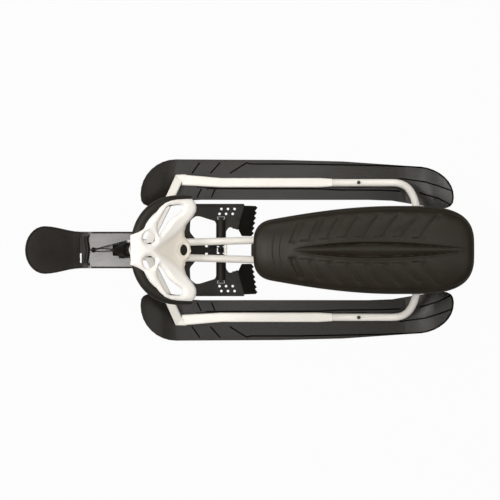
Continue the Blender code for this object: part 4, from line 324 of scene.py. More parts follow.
@dataclass(frozen=True)
class ShadedGrooveSki(Finish):
    """A ski with painted shade: its grooves and border lines are painted near black, standing in for the
    shade in them.

    Each groove is a path in millimetres on Object coordinates, and both sides of the sled have it. It is
    dark up to a core share of the width from its middle, and fades out at a reach share.
    """

    grooves: tuple[Points, ...] = ()
    groove_width: float = 3.8 * MM
    groove_core: float = 0.36
    groove_reach: float = 0.62
    groove_shade_tone: str = "#060505"

    def groove_shade_mask(self, tree: bpy.types.NodeTree) -> bpy.types.NodeSocket:
        """Measure how far each place is from the nearest groove.

        Args:
            tree: The material's nodes.

        Returns:
            The socket that gives 1 inside the grooves and 0 outside.
        """
        place = add_node(tree, "ShaderNodeTexCoord")
        parts = add_node(tree, "ShaderNodeSeparateXYZ", {0: place.outputs["Object"]})
        side = add_node(tree, "ShaderNodeMath", {0: parts.outputs["Y"]}, operation="ABSOLUTE")
        spot = add_node(tree, "ShaderNodeCombineXYZ", {0: parts.outputs["X"], 1: side.outputs[0]}).outputs[0]
        nearest = None
        for (x0, y0), (x1, y1) in (ends for path in self.grooves for ends in pairwise(path)):
            start, along = Vector((x0 * MM, y0 * MM, 0)), Vector(((x1 - x0) * MM, (y1 - y0) * MM, 0))
            way = add_node(tree, "ShaderNodeVectorMath", {0: spot, 1: start}, operation="SUBTRACT").outputs[0]
            share = add_node(tree, "ShaderNodeVectorMath", {0: way, 1: along / along.length_squared},
                             operation="DOT_PRODUCT").outputs["Value"]
            share = add_node(tree, "ShaderNodeClamp", {0: share}).outputs[0]
            foot = add_node(tree, "ShaderNodeVectorMath", {0: along, "Scale": share},
                            operation="SCALE").outputs[0]
            gap = add_node(tree, "ShaderNodeVectorMath", {0: way, 1: foot},
                           operation="DISTANCE").outputs["Value"]
            nearest = gap if nearest is None else add_node(
                tree, "ShaderNodeMath", {0: nearest, 1: gap}, operation="MINIMUM").outputs[0]
        dark = add_node(tree, "ShaderNodeMapRange",
                        {"Value": nearest, "From Min": self.groove_core * self.groove_width,
                         "From Max": self.groove_reach * self.groove_width, "To Min": 1.0, "To Max": 0.0},
                        interpolation_type="SMOOTHSTEP")
        return dark.outputs[0]

    def extra(self, tree: bpy.types.NodeTree, shader: bpy.types.Node) -> None:
        """Paint shade into the grooves and border lines: there the base is near black and fully metallic, so
        that no highlight lightens the painted shade.

        Args:
            tree: The material's nodes.
            shader: The Principled shader among them.
        """
        mask = self.groove_shade_mask(tree)
        plain = shader.inputs["Base Color"].links[0].from_socket
        mixed = add_node(tree, "ShaderNodeMix",
                         {MIX_SHARE: mask, MIX_FIRST: plain, MIX_SECOND: linear_colour(self.groove_shade_tone)},
                         data_type="RGBA")
        tree.links.new(mixed.outputs[MIXED], shader.inputs["Base Color"])
        tree.links.new(mask, shader.inputs["Metallic"])


@dataclass(frozen=True)
class BraidedCord(Finish):
    """Polyester braid: strands cross over each other round the cord, on its own UV map."""

    strand_pitch: float = 2.0 * MM
    strands_round: float = 4.0
    strand_angle: float = 45.0
    wave_scale: float = 0.35

    def relief(self, tree: bpy.types.NodeTree) -> bpy.types.NodeSocket:
        """Add two sets of strands that wind opposite ways.

        Args:
            tree: The material's nodes.

        Returns:
            The socket that gives their height, from 0 to 1.
        """
        place = add_node(tree, "ShaderNodeTexCoord")
        heights = []
        for turn in (-1.0, 1.0):
            mapping = add_node(tree, "ShaderNodeMapping",
                               {"Vector": place.outputs["UV"],
                                "Scale": (1 / self.strand_pitch, self.strands_round, 1.0),
                                "Rotation": (0.0, 0.0, turn * math.radians(self.strand_angle))})
            strands = add_node(tree, "ShaderNodeTexWave",
                               {"Vector": mapping.outputs["Vector"], "Scale": self.wave_scale})
            heights.append(strands.outputs["Fac"])
        over = add_node(tree, "ShaderNodeMath", {0: heights[0], 1: heights[1]}, operation="MAXIMUM")
        return over.outputs["Value"]


# Epoxy-polyester powder baked on steel tube: an even warm white, a soft broad highlight and faint waves.
POWDER_WHITE = Finish("powder_coated_steel_white", "#EEEBE5", "#E9E6DE", (0.30, 0.42), Grain.PEEL, 1.8 * MM,
                      0.010 * MM, 80 * MM, specular=0.3)
# Injection-moulded ABS: a slightly creamier white than the tubes, with a fine satin mould texture.
ABS_WHITE = Finish("moulded_abs_white", "#F6F3EC", "#F0EDE4", (0.32, 0.42), Grain.STIPPLE, 1.1 * MM,
                   0.006 * MM, 50 * MM)
# The spider is the same ABS, thicker and more matt, with painted shade, a greyer tone, where its middle is
# sunk.
SPIDER_WHITE = ShadedSunkMoulding("moulded_abs_white_spider", "#EDEBE6", "#E9E6E0", (0.34, 0.44), Grain.STIPPLE,
                            1.1 * MM, 0.006 * MM, 50 * MM)
# Painted shade in a line along each border of the front ski's flat part, in millimetres.
FRONT_SKI_SHADED_BORDERS = (((-410.0, 48.2), (-250.0, 48.2)),)
REAR_SKI_SHADED_GROOVES = (
    # Painted shade in the slanted grooves outside the rail and inside it.
    ((-119.5, 235.5), (-139.5, 208.0)), ((-64.5, 235.5), (-89.5, 208.0)), ((7.5, 235.5), (-36.5, 208.0)),
    ((-115.5, 164.0), (-125.5, 143.0)), ((-77.5, 164.0), (-86.5, 143.0)),
    # Painted shade in a line along the outer edge and round the tail.
    ((7.5, 235.5), (20.0, 232.4), (143.0, 232.4), (232.0, 230.8), (367.0, 228.0), (440.0, 225.5),
     (462.5, 224.4), (492.9, 220.4), (520.3, 208.9), (542.1, 190.8), (556.1, 168.2), (560.7, 143.0),
     (558.0, 126.0), (550.5, 117.5)),
    # Painted shade in the sweeps across the tail, and a dark line beside the rail.
    ((422.0, 193.4), (489.0, 183.8), (526.0, 171.8), (566.0, 155.0)),
    ((475.0, 154.3), (524.0, 138.4), (562.0, 117.5)),
    ((-100.0, 166.2), (206.0, 165.0), (260.0, 162.3), (368.0, 161.6), (422.0, 159.0)))
# Injection-moulded polyethylene: near black with a waxy gloss that mirrors the lamps, and hair scratches,
# which are drawn wider than real ones, or they would vanish at the size of the photograph. A line of painted
# shade runs along each border.
SKI_POLYETHYLENE = ShadedGrooveSki("moulded_polyethylene_black", "#191713", "#1F1C17", (0.16, 0.24), Grain.STIPPLE,
                              2.4 * MM, 0.006 * MM, 90 * MM, stretch=3.0, ior=1.54, specular=0.24,
                              scuff_tone="#34312B", scuff_share=0.12, grooves=FRONT_SKI_SHADED_BORDERS)
# The rear skis are the same plastic, less glossy, with their tone painted a shade lighter for the light that
# their grooved tops catch, and painted shade in their grooves.
REAR_SKI_POLYETHYLENE = replace(SKI_POLYETHYLENE, name="moulded_polyethylene_black_grooved", tone="#1B1914",
                                second_tone="#211E19", gloss=(0.20, 0.30), specular=0.20,
                                grooves=REAR_SKI_SHADED_GROOVES)
# Glass-filled nylon: dense matt black with a coarse spark texture.
NYLON_BLACK = Finish("moulded_nylon_black", "#191711", "#1F1C16", (0.40, 0.52), Grain.STIPPLE, 1.5 * MM,
                     0.015 * MM, 40 * MM, ior=1.53, specular=0.16)
# Steel plate and bolts under black powder: a little glossier than the nylon, with waves in its highlight.
POWDER_BLACK = Finish("powder_coated_steel_black", "#14120E", "#191711", (0.34, 0.48), Grain.PEEL, 1.6 * MM,
                      0.015 * MM, 30 * MM, specular=0.15)
# Soft thermoplastic rubber over the rim: deep grey-black, no hard highlight.
GRIP_RUBBER = Finish("moulded_grip_rubber_black", "#201E19", "#27241F", (0.42, 0.54), Grain.STIPPLE, 1.3 * MM,
                     0.015 * MM, 45 * MM, ior=1.52, specular=0.26)
# Self-skinned polyurethane foam: brown-black, pebbled like shoe leather. The pebbles are drawn at about
# twice their real size, or they would vanish at the size of the photograph.
SEAT_SKIN = Finish("self_skinned_foam_black", "#1F1A13", "#252018", (0.34, 0.46), Grain.PEBBLE, 2.2 * MM,
                   0.05 * MM, 70 * MM, specular=0.18)
# Black oxide on a steel rod or bolt: oily dark metal with a soft gleam.
BLACK_OXIDE = Finish("black_oxide_steel", "#3A3936", "#2B2A28", (0.34, 0.48), Grain.PEEL, 0.8 * MM,
                     0.006 * MM, 14 * MM, metallic=0.8)
# Bright zinc plate on steel fasteners, with a faint blue-grey cast and cloudy gloss.
ZINC_PLATE = Finish("zinc_plated_steel", "#B9BABC", "#9FA1A4", (0.24, 0.40), Grain.PEEL, 0.8 * MM, 0.006 * MM,
                    12 * MM, metallic=1.0)
# Braided polyester cord: a dull black whose strands break up every highlight.
CORD_BRAID = BraidedCord("braided_polyester_black", "#171614", "#211F1D", (0.70, 0.85),
                         grain_depth=0.25 * MM, sheen=0.1)
# The record's material slot of each finish.
SLOTS = {POWDER_WHITE: "white_paint", ABS_WHITE: "white_moulding", SPIDER_WHITE: "white_moulding",
         SKI_POLYETHYLENE: "black_ski_plastic", REAR_SKI_POLYETHYLENE: "black_ski_plastic",
         NYLON_BLACK: "black_moulding", POWDER_BLACK: "black_steel", GRIP_RUBBER: "soft_black_grip",
         SEAT_SKIN: "black_seat_skin", BLACK_OXIDE: "zinc_steel", ZINC_PLATE: "zinc_steel",
         CORD_BRAID: "black_cord"}


# Making pieces

def picked(geometry: Iterable, kind: type) -> list:
    """Pick the vertices, the edges or the faces out of what an operator gives back."""
    return [part for part in geometry if isinstance(part, kind)]


def cut_through(bm: bmesh.types.BMesh, place: Vector, across: Vector, near: float = MERGE_DISTANCE) -> None:
    """Cut a mesh's faces along a plane, and keep both halves.

    Args:
        bm: The mesh.
        place: A point on the plane.
        across: The plane's normal.
        near: How close a vertex has to be to count as on the plane.
    """
    bmesh.ops.bisect_plane(bm, geom=[*bm.verts, *bm.edges, *bm.faces], dist=near, plane_co=place,
                           plane_no=across)


def dissolve_flat(bm: bmesh.types.BMesh, degrees: float = FLAT) -> None:
    """Join the faces of a mesh that lie in one plane, to an angle in degrees."""
    bmesh.ops.dissolve_limit(bm, angle_limit=math.radians(degrees), verts=bm.verts, edges=bm.edges)


def round_edges(obj: bpy.types.Object, width: float, sharp: float = SHARP) -> None:
    """Round a piece's sharp edges with a modifier that keeps its flat faces flat.

    Args:
        obj: The piece.
        width: The width of a rounded edge.
        sharp: The angle in degrees from which an edge is rounded.
    """
    modifier = obj.modifiers.new("rounded_edges", "BEVEL")
    modifier.width = width
    modifier.segments = EDGE_SEGMENTS
    modifier.limit_method = "ANGLE"
    modifier.angle_limit = math.radians(sharp)
    modifier.use_clamp_overlap = True
    weighted = obj.modifiers.new("flat_faces_stay_flat", "WEIGHTED_NORMAL")
    weighted.mode = "FACE_AREA"
    weighted.keep_sharp = True


def pair(stem: str) -> tuple[str, str]:
    """Give the names of a left and a right node."""
    return f"{stem}_left", f"{stem}_right"


@dataclass
class Workshop:
    """Holds the frame and the materials, and makes the pieces that ride on the frame."""

    frame: dict
    materials: dict[Finish, bpy.types.Material] = field(init=False)
    bodies: dict[str, str] = field(init=False)

    def __post_init__(self) -> None:
        """Build every finish once, and note the body that each node belongs to."""
        self.materials = {finish: finish.make() for finish in SLOTS}
        self.bodies = {node: body for body, nodes in self.frame["record"]["behaviour"]["bodies"].items()
                       for node in nodes}

    def steering_frame(self) -> Matrix:
        """Give the place and turn of the steering axis, at the place of its joint.

        Returns:
            A matrix whose local Z runs up the column.
        """
        hinge = next(joint for joint in self.frame["joints"] if joint["name"] == "steering")
        tilt = UP.rotation_difference(Vector(hinge["axis"]).normalized()).to_matrix().to_4x4()
        return Matrix.Translation(Vector(hinge["pos_m"])) @ tilt

    def piece(self, name: str, bm: bmesh.types.BMesh, finish: Finish, body: str = "",
              replaces: Sequence[str] = (), sharp: float = SHARP) -> bpy.types.Object:
        """Turn a bmesh into a piece that rides on a body.

        Args:
            name: The piece's name.
            bm: Its shape, which is freed.
            finish: Its material.
            body: The body that it rides on, or nothing, which leaves it on no body.
            replaces: The CAD nodes that it stands for.
            sharp: The angle in degrees from which an edge stays sharp.

        Returns:
            The new object.
        """
        mesh = bpy.data.meshes.new(name)
        bm.to_mesh(mesh)
        bm.free()
        mesh.shade_smooth()
        mesh.set_sharp_from_angle(angle=math.radians(sharp))
        mesh.materials.append(self.materials[finish])
        obj = bpy.data.objects.new(name, mesh)
        bpy.context.scene.collection.objects.link(obj)
        if replaces:
            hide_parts(*replaces)
        if body:
            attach(obj, body)
        LOG.info("%s: %d faces, %s", name, len(mesh.polygons), finish.name)
        return obj

    def copied(self, node: str) -> bmesh.types.BMesh:
        """Copy a CAD node's mesh and merge its loose triangles.

        Args:
            node: The node's name.

        Returns:
            The copy, in its place.
        """
        bm = bmesh.new()
        bm.from_mesh(self.frame["nodes"][node].data)
        bmesh.ops.remove_doubles(bm, verts=bm.verts, dist=MERGE_DISTANCE)
        return bm

    def finished(self, node: str, bm: bmesh.types.BMesh, finish: Finish, edge: float = 0.0,
                 sharp: float = SHARP, rounded: float = 0.0) -> None:
        """Turn a copy of a CAD node into the piece that stands for it.

        Args:
            node: The node's name.
            bm: The copy, which is freed.
            finish: The material of the piece.
            edge: The width of its rounded edges, or nothing to leave them.
            sharp: The angle in degrees from which an edge counts as an edge.
            rounded: The angle in degrees from which an edge is rounded, where it isn't the same.
        """
        obj = self.piece(f"{node}_finished", bm, finish, self.bodies[node], [node], sharp)
        if edge:
            round_edges(obj, edge, rounded or sharp)

    def dress(self, nodes: Iterable[str], finish: Finish, edge: float = 0.0, sharp: float = SHARP) -> None:
        """Copy CAD nodes as smooth pieces with rounded edges, in their places.

        Args:
            nodes: The nodes' names.
            finish: The material of the pieces.
            edge: The width of their rounded edges, or nothing to leave them.
            sharp: The angle in degrees from which an edge counts as an edge.
        """
        for node in nodes:
            bm = self.copied(node)
            dissolve_flat(bm)
            self.finished(node, bm, finish, edge, sharp)

    def plate(self, name: str, outline: Points, heights: tuple[float, float], edge: float,
              host: str) -> None:
        """Make a small level plate of nylon with rounded edges.

        Args:
            name: The piece's name.
            outline: Its corners from above, in order.
            heights: The heights of its underside and its top.
            edge: The width of its rounded edges.
            host: The CAD node that carries it.
        """
        low, high = heights
        bm = bmesh.new()
        face = bm.faces.new([bm.verts.new((x, y, low)) for x, y in outline])
        grown = bmesh.ops.extrude_face_region(bm, geom=[face])["geom"]
        bmesh.ops.translate(bm, vec=(0, 0, high - low), verts=picked(grown, bmesh.types.BMVert))
        bmesh.ops.recalc_face_normals(bm, faces=bm.faces)
        round_edges(self.piece(name, bm, NYLON_BLACK, self.bodies[host]), edge)


def stations_along(path: Sequence[Vector], radius: float) -> list[Matrix]:
    """Give the place, turn and size of a round section at each point of a path.

    Args:
        path: Points on the centre line.
        radius: The radius of the section.

    Returns:
        One matrix for each point, whose local Z runs along the path without a twist.
    """
    last = len(path) - 1
    along = (path[1] - path[0]).normalized()
    turn = UP.rotation_difference(along)
    stations = []
    for index, point in enumerate(path):
        ahead = (path[min(index + 1, last)] - path[max(index - 1, 0)]).normalized()
        turn = along.rotation_difference(ahead) @ turn
        along = ahead
        stations.append(Matrix.LocRotScale(point, turn, Vector.Fill(3, radius)))
    return stations


def sweep(path: Sequence[Vector], radius: float, sides: int) -> bmesh.types.BMesh:
    """Sweep a circle along a path.

    Args:
        path: Points on the centre line.
        radius: The radius of the circle.
        sides: Points round the circle.

    Returns:
        A closed tube, with a UV map of metres along it by turns round it.
    """
    stations = stations_along(path, radius)
    bm = bmesh.new()
    uv = bm.loops.layers.uv.new("UVMap")
    bmesh.ops.create_circle(bm, cap_ends=False, radius=1.0, segments=sides, matrix=stations[0])
    edges = list(bm.edges)
    ends = [edges]
    distance = 0.0
    for start, end in pairwise(stations):
        grown = bmesh.ops.extrude_edge_only(bm, edges=edges)["geom"]
        ring = set(picked(grown, bmesh.types.BMVert))
        edges = picked(grown, bmesh.types.BMEdge)
        bmesh.ops.transform(bm, matrix=end @ start.inverted(), verts=list(ring))
        step = (end.translation - start.translation).length
        for face in picked(grown, bmesh.types.BMFace):
            turns = []
            for corner in face.loops:
                fresh = corner.vert in ring
                spot = (end if fresh else start).inverted() @ corner.vert.co
                turns.append((corner, distance + step * fresh, math.atan2(spot.y, spot.x) / math.tau % 1.0))
            # A face that lies across the end of the map has its low turns raised by a whole one.
            wraps = max(turn for *_, turn in turns) - min(turn for *_, turn in turns) > 0.5
            for corner, metres, turn in turns:
                corner[uv].uv = (metres, turn + (1.0 if wraps and turn < 0.5 else 0.0))
        distance += step
    for loop in (*ends, edges):
        bmesh.ops.edgeloop_fill(bm, edges=loop)
    bmesh.ops.recalc_face_normals(bm, faces=bm.faces)
    return bm


def curve_through(points: Sequence[Vector], steps: int) -> list[Vector]:
    """Give a smooth curve through points: a centripetal Catmull-Rom spline.

    Args:
        points: Where the curve passes.
        steps: How many pieces lie between each two points.

    Returns:
        The points of the curve.
    """
    spots = [2 * points[0] - points[1], *points, 2 * points[-1] - points[-2]]
    result = []
    for p0, p1, p2, p3 in zip(spots, spots[1:], spots[2:], spots[3:]):
        t1 = (p1 - p0).length ** 0.5
        t2 = t1 + (p2 - p1).length ** 0.5
        t3 = t2 + (p3 - p2).length ** 0.5
        for step in range(steps):
            t = t1 + (t2 - t1) * step / steps
            a1 = p0.lerp(p1, t / t1)
            a2 = p1.lerp(p2, (t - t1) / (t2 - t1))
            a3 = p2.lerp(p3, (t - t2) / (t3 - t2))
            result.append(a1.lerp(a2, t / t2).lerp(a2.lerp(a3, (t - t1) / (t3 - t1)), (t - t1) / (t2 - t1)))
    return result + [points[-1].copy()]


def clamp(share: float) -> float:
    """Keep a share between 0 and 1."""
    return min(1.0, max(0.0, share))


def ease(share: float) -> float:
    """Give a smooth step from 0 to 1."""
    share = clamp(share)
    return share * share * (3 - 2 * share)


def rounded_end(share: float, power: float) -> float:
    """Give the share of its full size that a rounded end has, as a superellipse.

    Args:
        share: How far the place is from the round's start towards the tip.
        power: How square the round is.

    Returns:
        1 at the start or before it, and 0 at the tip.
    """
    return (1 - clamp(share) ** power) ** (1 / power)


def in_metres(points: Points) -> list[tuple[float, float]]:
    """Turn points in millimetres into metres."""
    return [(a * MM, b * MM) for a, b in points]


def distance_to_lines(spot: Sequence[float], lines: Iterable[Sequence[Sequence[float]]]) -> float:
    """Give the distance in a plane from a spot to the nearest of some segments.

    Args:
        spot: The place.
        lines: The two ends of each segment.

    Returns:
        The distance in the units of the points.
    """
    nearest = math.inf
    for start, end in lines:
        along = (end[0] - start[0], end[1] - start[1])
        way = (spot[0] - start[0], spot[1] - start[1])
        length = along[0] ** 2 + along[1] ** 2 or TINY
        share = min(1.0, max(0.0, (way[0] * along[0] + way[1] * along[1]) / length))
        nearest = min(nearest, math.hypot(way[0] - along[0] * share, way[1] - along[1] * share))
    return nearest


def groove(distance: float, width: float) -> float:
    """Give the depth share of a soft groove at a distance from its middle."""
    return math.exp(-(distance / (width / 2)) ** 2 * GROOVE_STEEPNESS)


# Sub-assemblies

@dataclass
class Frame:
    """The tube frame, its saddles, hangers and fasteners."""

    shop: Workshop
    tube_edge: float = 0.8 * MM
    block_edge: float = 1.2 * MM
    small_edge: float = 0.4 * MM
    tube_sharp: float = 50.0
    flat_sharp: float = 45.0
    # The crease in each strut: its ends in millimetres, and how near its middle a vertex sinks.
    crease_ends: Points = ((-173.0, 206.0), (-203.0, 140.0))
    crease_half: float = 3.2 * MM
    crease_depth: float = 1.8 * MM
    crease_near: float = 0.1 * MM
    crease_sharp: float = 42.0
    facing_up: float = 0.5

    def build(self) -> None:
        """Dress every fixed node but the skis and the seat."""
        dress = self.shop.dress
        dress((*pair("centre_rail"), "rear_hoop", "rail_cross_bar"), POWDER_WHITE, sharp=self.tube_sharp)
        dress((*pair("side_rail"), "head_tube", *pair("brake_hanger"), "seat_strap_front", "seat_strap_rear"),
              POWDER_WHITE, self.tube_edge, self.flat_sharp)
        for side in Side:
            self.strut(side)
        dress((*pair("ski_saddle_front"), *pair("ski_saddle_rear")), NYLON_BLACK, self.block_edge)
        dress(("head_bush_lower", "head_bush_upper", *pair("rod_cap")), NYLON_BLACK, self.small_edge)
        dress(("seat_bolt_front", "seat_bolt_rear"), ZINC_PLATE, self.small_edge)
        dress((*pair("ski_screw"), "brake_pivot_rod", "brake_stop_pin"), BLACK_OXIDE, self.small_edge)

    def strut(self, side: Side) -> None:
        """Press a long crease into the top of a flat strut, which stiffens the real sheet.

        Args:
            side: The side of the sled.
        """
        node = f"front_strut_{side.name.lower()}"
        bm = self.shop.copied(node)
        dissolve_flat(bm)
        start, end = (Vector((x, y * side.value, 0)) for x, y in in_metres(self.crease_ends))
        across = (end - start).cross(UP).normalized()
        for offset in (-1, 0, 1):
            cut_through(bm, start + across * self.crease_half * offset, across)
        bm.normal_update()
        for vert in bm.verts:
            middle = abs((vert.co - start).dot(across)) < self.crease_near
            if middle and any(face.normal.z > self.facing_up for face in vert.link_faces):
                vert.co.z -= self.crease_depth
        self.shop.finished(node, bm, POWDER_WHITE, self.tube_edge, self.crease_sharp, self.tube_sharp)


@dataclass
class Skis:
    """The three skis."""

    shop: Workshop
    edge: float = 0.9 * MM
    sharp: float = 40.0

    def build(self) -> None:
        """Dress the skis with soft moulded edges."""
        self.shop.dress(pair("rear_ski"), REAR_SKI_POLYETHYLENE, self.edge, self.sharp)
        self.shop.dress(["front_ski"], SKI_POLYETHYLENE, self.edge, self.sharp)


@dataclass
class Brake:
    """The foot plate, its claws, bolts and return spring, and the small cover over the spring."""

    shop: Workshop
    plate_edge: float = 0.8 * MM
    small_edge: float = 0.4 * MM
    bolt_edge: float = 0.32 * MM
    spring_sharp: float = 50.0
    guard_x: tuple[float, float] = (-91.5 * MM, -71.0 * MM)
    guard_z: tuple[float, float] = (66.4 * MM, 68.7 * MM)
    guard_gap: float = 0.3 * MM

    def build(self) -> None:
        """Dress the plate and the spring, and hang a cover between the hangers that keeps snow out."""
        self.shop.dress(["brake_plate"], NYLON_BLACK, self.plate_edge)
        self.shop.dress(pair("brake_claw"), POWDER_BLACK, self.small_edge)
        self.shop.dress(pair("claw_bolt"), POWDER_BLACK, self.bolt_edge)
        self.shop.dress(["brake_spring"], BLACK_OXIDE, sharp=self.spring_sharp)
        side = min(abs(corner[1]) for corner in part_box("brake_hanger_left")) - self.guard_gap
        front, back = self.guard_x
        self.shop.plate("spring_snow_guard", ((front, -side), (back, -side), (back, side), (front, side)),
                        self.guard_z, self.small_edge, "brake_stop_pin")


@dataclass
class Wheel:
    """The steering wheel: rim, spider, hub cap and bolt.

    Its own frame has u forward, v to the rider's right and w up the steering axis, from the hub's top.
    """

    shop: Workshop
    place: Matrix = field(init=False)
    hub_height: float = 346.4 * MM
    cap_edge: float = 0.8 * MM
    bolt_edge: float = 0.3 * MM
    # The rim's middle is a superellipse that is open towards the rider, behind rim_tail.
    rim_radius: float = 12.5 * MM
    rim_centre: float = 3.0 * MM
    rim_reach: tuple[float, float] = (132.0 * MM, 123.5 * MM)
    rim_power: float = 2.3
    rim_tail: float = -16.0 * MM
    rim_sink: float = 2.5 * MM
    rim_points: int = 110
    rim_sides: int = 28
    rim_sharp: float = 50.0
    # The plate's dish, as rise and reach, and the lip that droops at its front, as the CAD plate has them.
    dish: tuple[float, float] = (18.5 * MM, 105.0 * MM)
    lip_start: float = 112.0 * MM
    lip_end: float = 154.5 * MM
    lip_drop: float = 7.0 * MM
    lip_trim: float = 3.0 * MM
    # The grid that the plate is cut into, and how near a vertex counts as on a cut or on the plate's top.
    grid: float = 3.6 * MM
    grid_reach: tuple[float, float] = (160.0 * MM, 130.0 * MM)
    grid_shift: float = 0.37
    grid_near: float = 0.01 * MM
    top_near: float = 0.3 * MM
    top_flat: float = 0.5
    top_merge: float = 0.5
    spider_sharp: float = 48.0
    # The swelling of the arms, which starts outside the hub.
    hub_zone: float = 17.0 * MM
    hub_start: float = 1.0 * MM
    hub_fade: float = 6.0 * MM
    crown: float = 3.6 * MM
    crown_reach: float = 13.0 * MM
    crown_power: float = 2.4
    edge_drop: float = 2.2 * MM
    # The border of the sunk middle and the crease of each arm in millimetres, for one side.
    recess: Points = ((-30.0, 76.0), (-4.0, 68.0), (12.0, 53.0), (27.0, 38.0), (46.0, 25.0), (68.0, 15.0),
                      (90.0, 0.0))
    recess_depth: float = 3.0 * MM
    recess_slope: float = 17.0 * MM
    crease: Points = ((36.0, 78.0), (50.0, 58.0), (60.0, 47.0), (80.0, 35.0))
    crease_width: float = 5.0 * MM
    crease_depth: float = 2.0 * MM
    # The ring round the hub: its radius, its width and its rise.
    ring: tuple[float, float, float] = (19.0 * MM, 8.0 * MM, 2.0 * MM)

    def build(self) -> None:
        """Make the rim and the spider, and dress the hub."""
        flip = Matrix.Scale(-1, 4, (1, 0, 0)) @ Matrix.Scale(-1, 4, (0, 1, 0))
        self.place = self.shop.steering_frame() @ Matrix.Translation((0, 0, self.hub_height)) @ flip
        self.rim()
        self.spider()
        self.shop.dress(["hub_cap"], NYLON_BLACK, self.cap_edge)
        self.shop.dress(["hub_bolt"], ZINC_PLATE, self.bolt_edge)

    def rim(self) -> None:
        """Sweep the grip along an open superellipse."""
        reach_u, reach_v = self.rim_reach
        start = math.acos((self.rim_tail - self.rim_centre) / reach_u)
        path = []
        for step in range(self.rim_points + 1):
            angle = start - 2 * start * step / self.rim_points
            c, s = math.cos(angle), math.sin(angle)
            scale = (abs(c) ** self.rim_power + abs(s) ** self.rim_power) ** (-1 / self.rim_power)
            path.append(self.place @ Vector((self.rim_centre + reach_u * c * scale, reach_v * s * scale,
                                             self.rim_sink)))
        self.shop.piece("wheel_rim_grip", sweep(path, self.rim_radius, self.rim_sides), GRIP_RUBBER,
                        "steering", ["wheel_rim"], self.rim_sharp)

    def droop(self, u: float) -> float:
        """Give how far along the drooping lip a place is, from 0 to 1."""
        return max(0.0, u - self.lip_start) / (self.lip_end - self.lip_start)

    def height(self, u: float, v: float) -> float:
        """Give the height of the plain dish.

        Args:
            u: How far forward the place is.
            v: How far to the right it is.

        Returns:
            Its height above the hub's top.
        """
        rise, reach = self.dish
        droop = self.droop(u)
        return rise * ease(math.hypot(u, v) / reach) - self.lip_drop * droop * droop

    def sunk(self, u: float, v: float) -> float:
        """Give how far a place lies in the sunk middle.

        Args:
            u: How far forward the place is.
            v: How far to the right it is.

        Returns:
            A share from 0 on the arms to 1 in the middle.
        """
        border = in_metres(self.recess)
        gap = distance_to_lines((u, abs(v)), pairwise(border))
        limit = next((b0 + (b1 - b0) * (u - a0) / (a1 - a0) for (a0, b0), (a1, b1) in pairwise(border)
                      if a0 <= u <= a1), 0.0 if u > border[-1][0] else border[0][1])
        inside = gap if abs(v) < limit else -gap
        return ease(0.5 + inside / self.recess_slope)

    def spider_plate(self) -> bmesh.types.BMesh:
        """Copy the spider's plate into the wheel's own frame, and take its dish out.

        Returns:
            The plate, whose top lies at a height of 0.
        """
        bm = self.shop.copied("wheel_spider")
        bm.transform(self.place.inverted())
        for vert in bm.verts:
            vert.co.z -= self.height(vert.co.x, vert.co.y)
        dissolve_flat(bm, self.top_merge)
        return bm

    def spider(self) -> None:
        """Swell the plate into a moulding: crowned arms round a sunk middle and a ring round the hub."""
        bm = self.spider_plate()
        border = [(tuple(edge.verts[0].co.xy), tuple(edge.verts[1].co.xy)) for edge in bm.edges
                  if all(abs(vert.co.z) < self.top_near and vert.co.xy.length > self.hub_zone
                         for vert in edge.verts)
                  and any(abs(face.normal.z) < self.top_flat for face in edge.link_faces)]
        for axis, reach in zip((Vector((1, 0, 0)), Vector((0, 1, 0))), self.grid_reach):
            count = int(reach / self.grid)
            for step in range(-count, count + 1):
                cut_through(bm, axis * self.grid * (step + self.grid_shift), axis, self.grid_near)
        shade = bm.verts.layers.float.new("sunk")
        crease = list(pairwise(in_metres(self.crease)))
        radius, width, rise = self.ring
        for vert in bm.verts:
            u, v, w = vert.co
            # The sunk share also sets how much painted shade the sunk middle gets.
            vert[shade] = self.sunk(u, v)
            vert.co.z += self.height(u, v)
            vert.co.x -= self.lip_trim * self.droop(u)
            if abs(w) > self.top_near:
                continue
            reach = math.hypot(u, v)
            edge = distance_to_lines((u, v), border)
            swell = 1 - (1 - min(1.0, edge / self.crown_reach)) ** self.crown_power
            free = ease((reach - self.hub_zone + self.hub_start) / self.hub_fade)
            fold = distance_to_lines((u, abs(v)), crease)
            vert.co.z += free * ((self.crown + self.edge_drop) * swell - self.edge_drop
                                 - self.recess_depth * vert[shade]
                                 - self.crease_depth * groove(fold, self.crease_width)
                                 + rise * groove(reach - radius, width))
        bm.transform(self.place)
        self.shop.piece("wheel_spider_moulding", bm, SPIDER_WHITE, "steering", ["wheel_spider"],
                        self.spider_sharp)


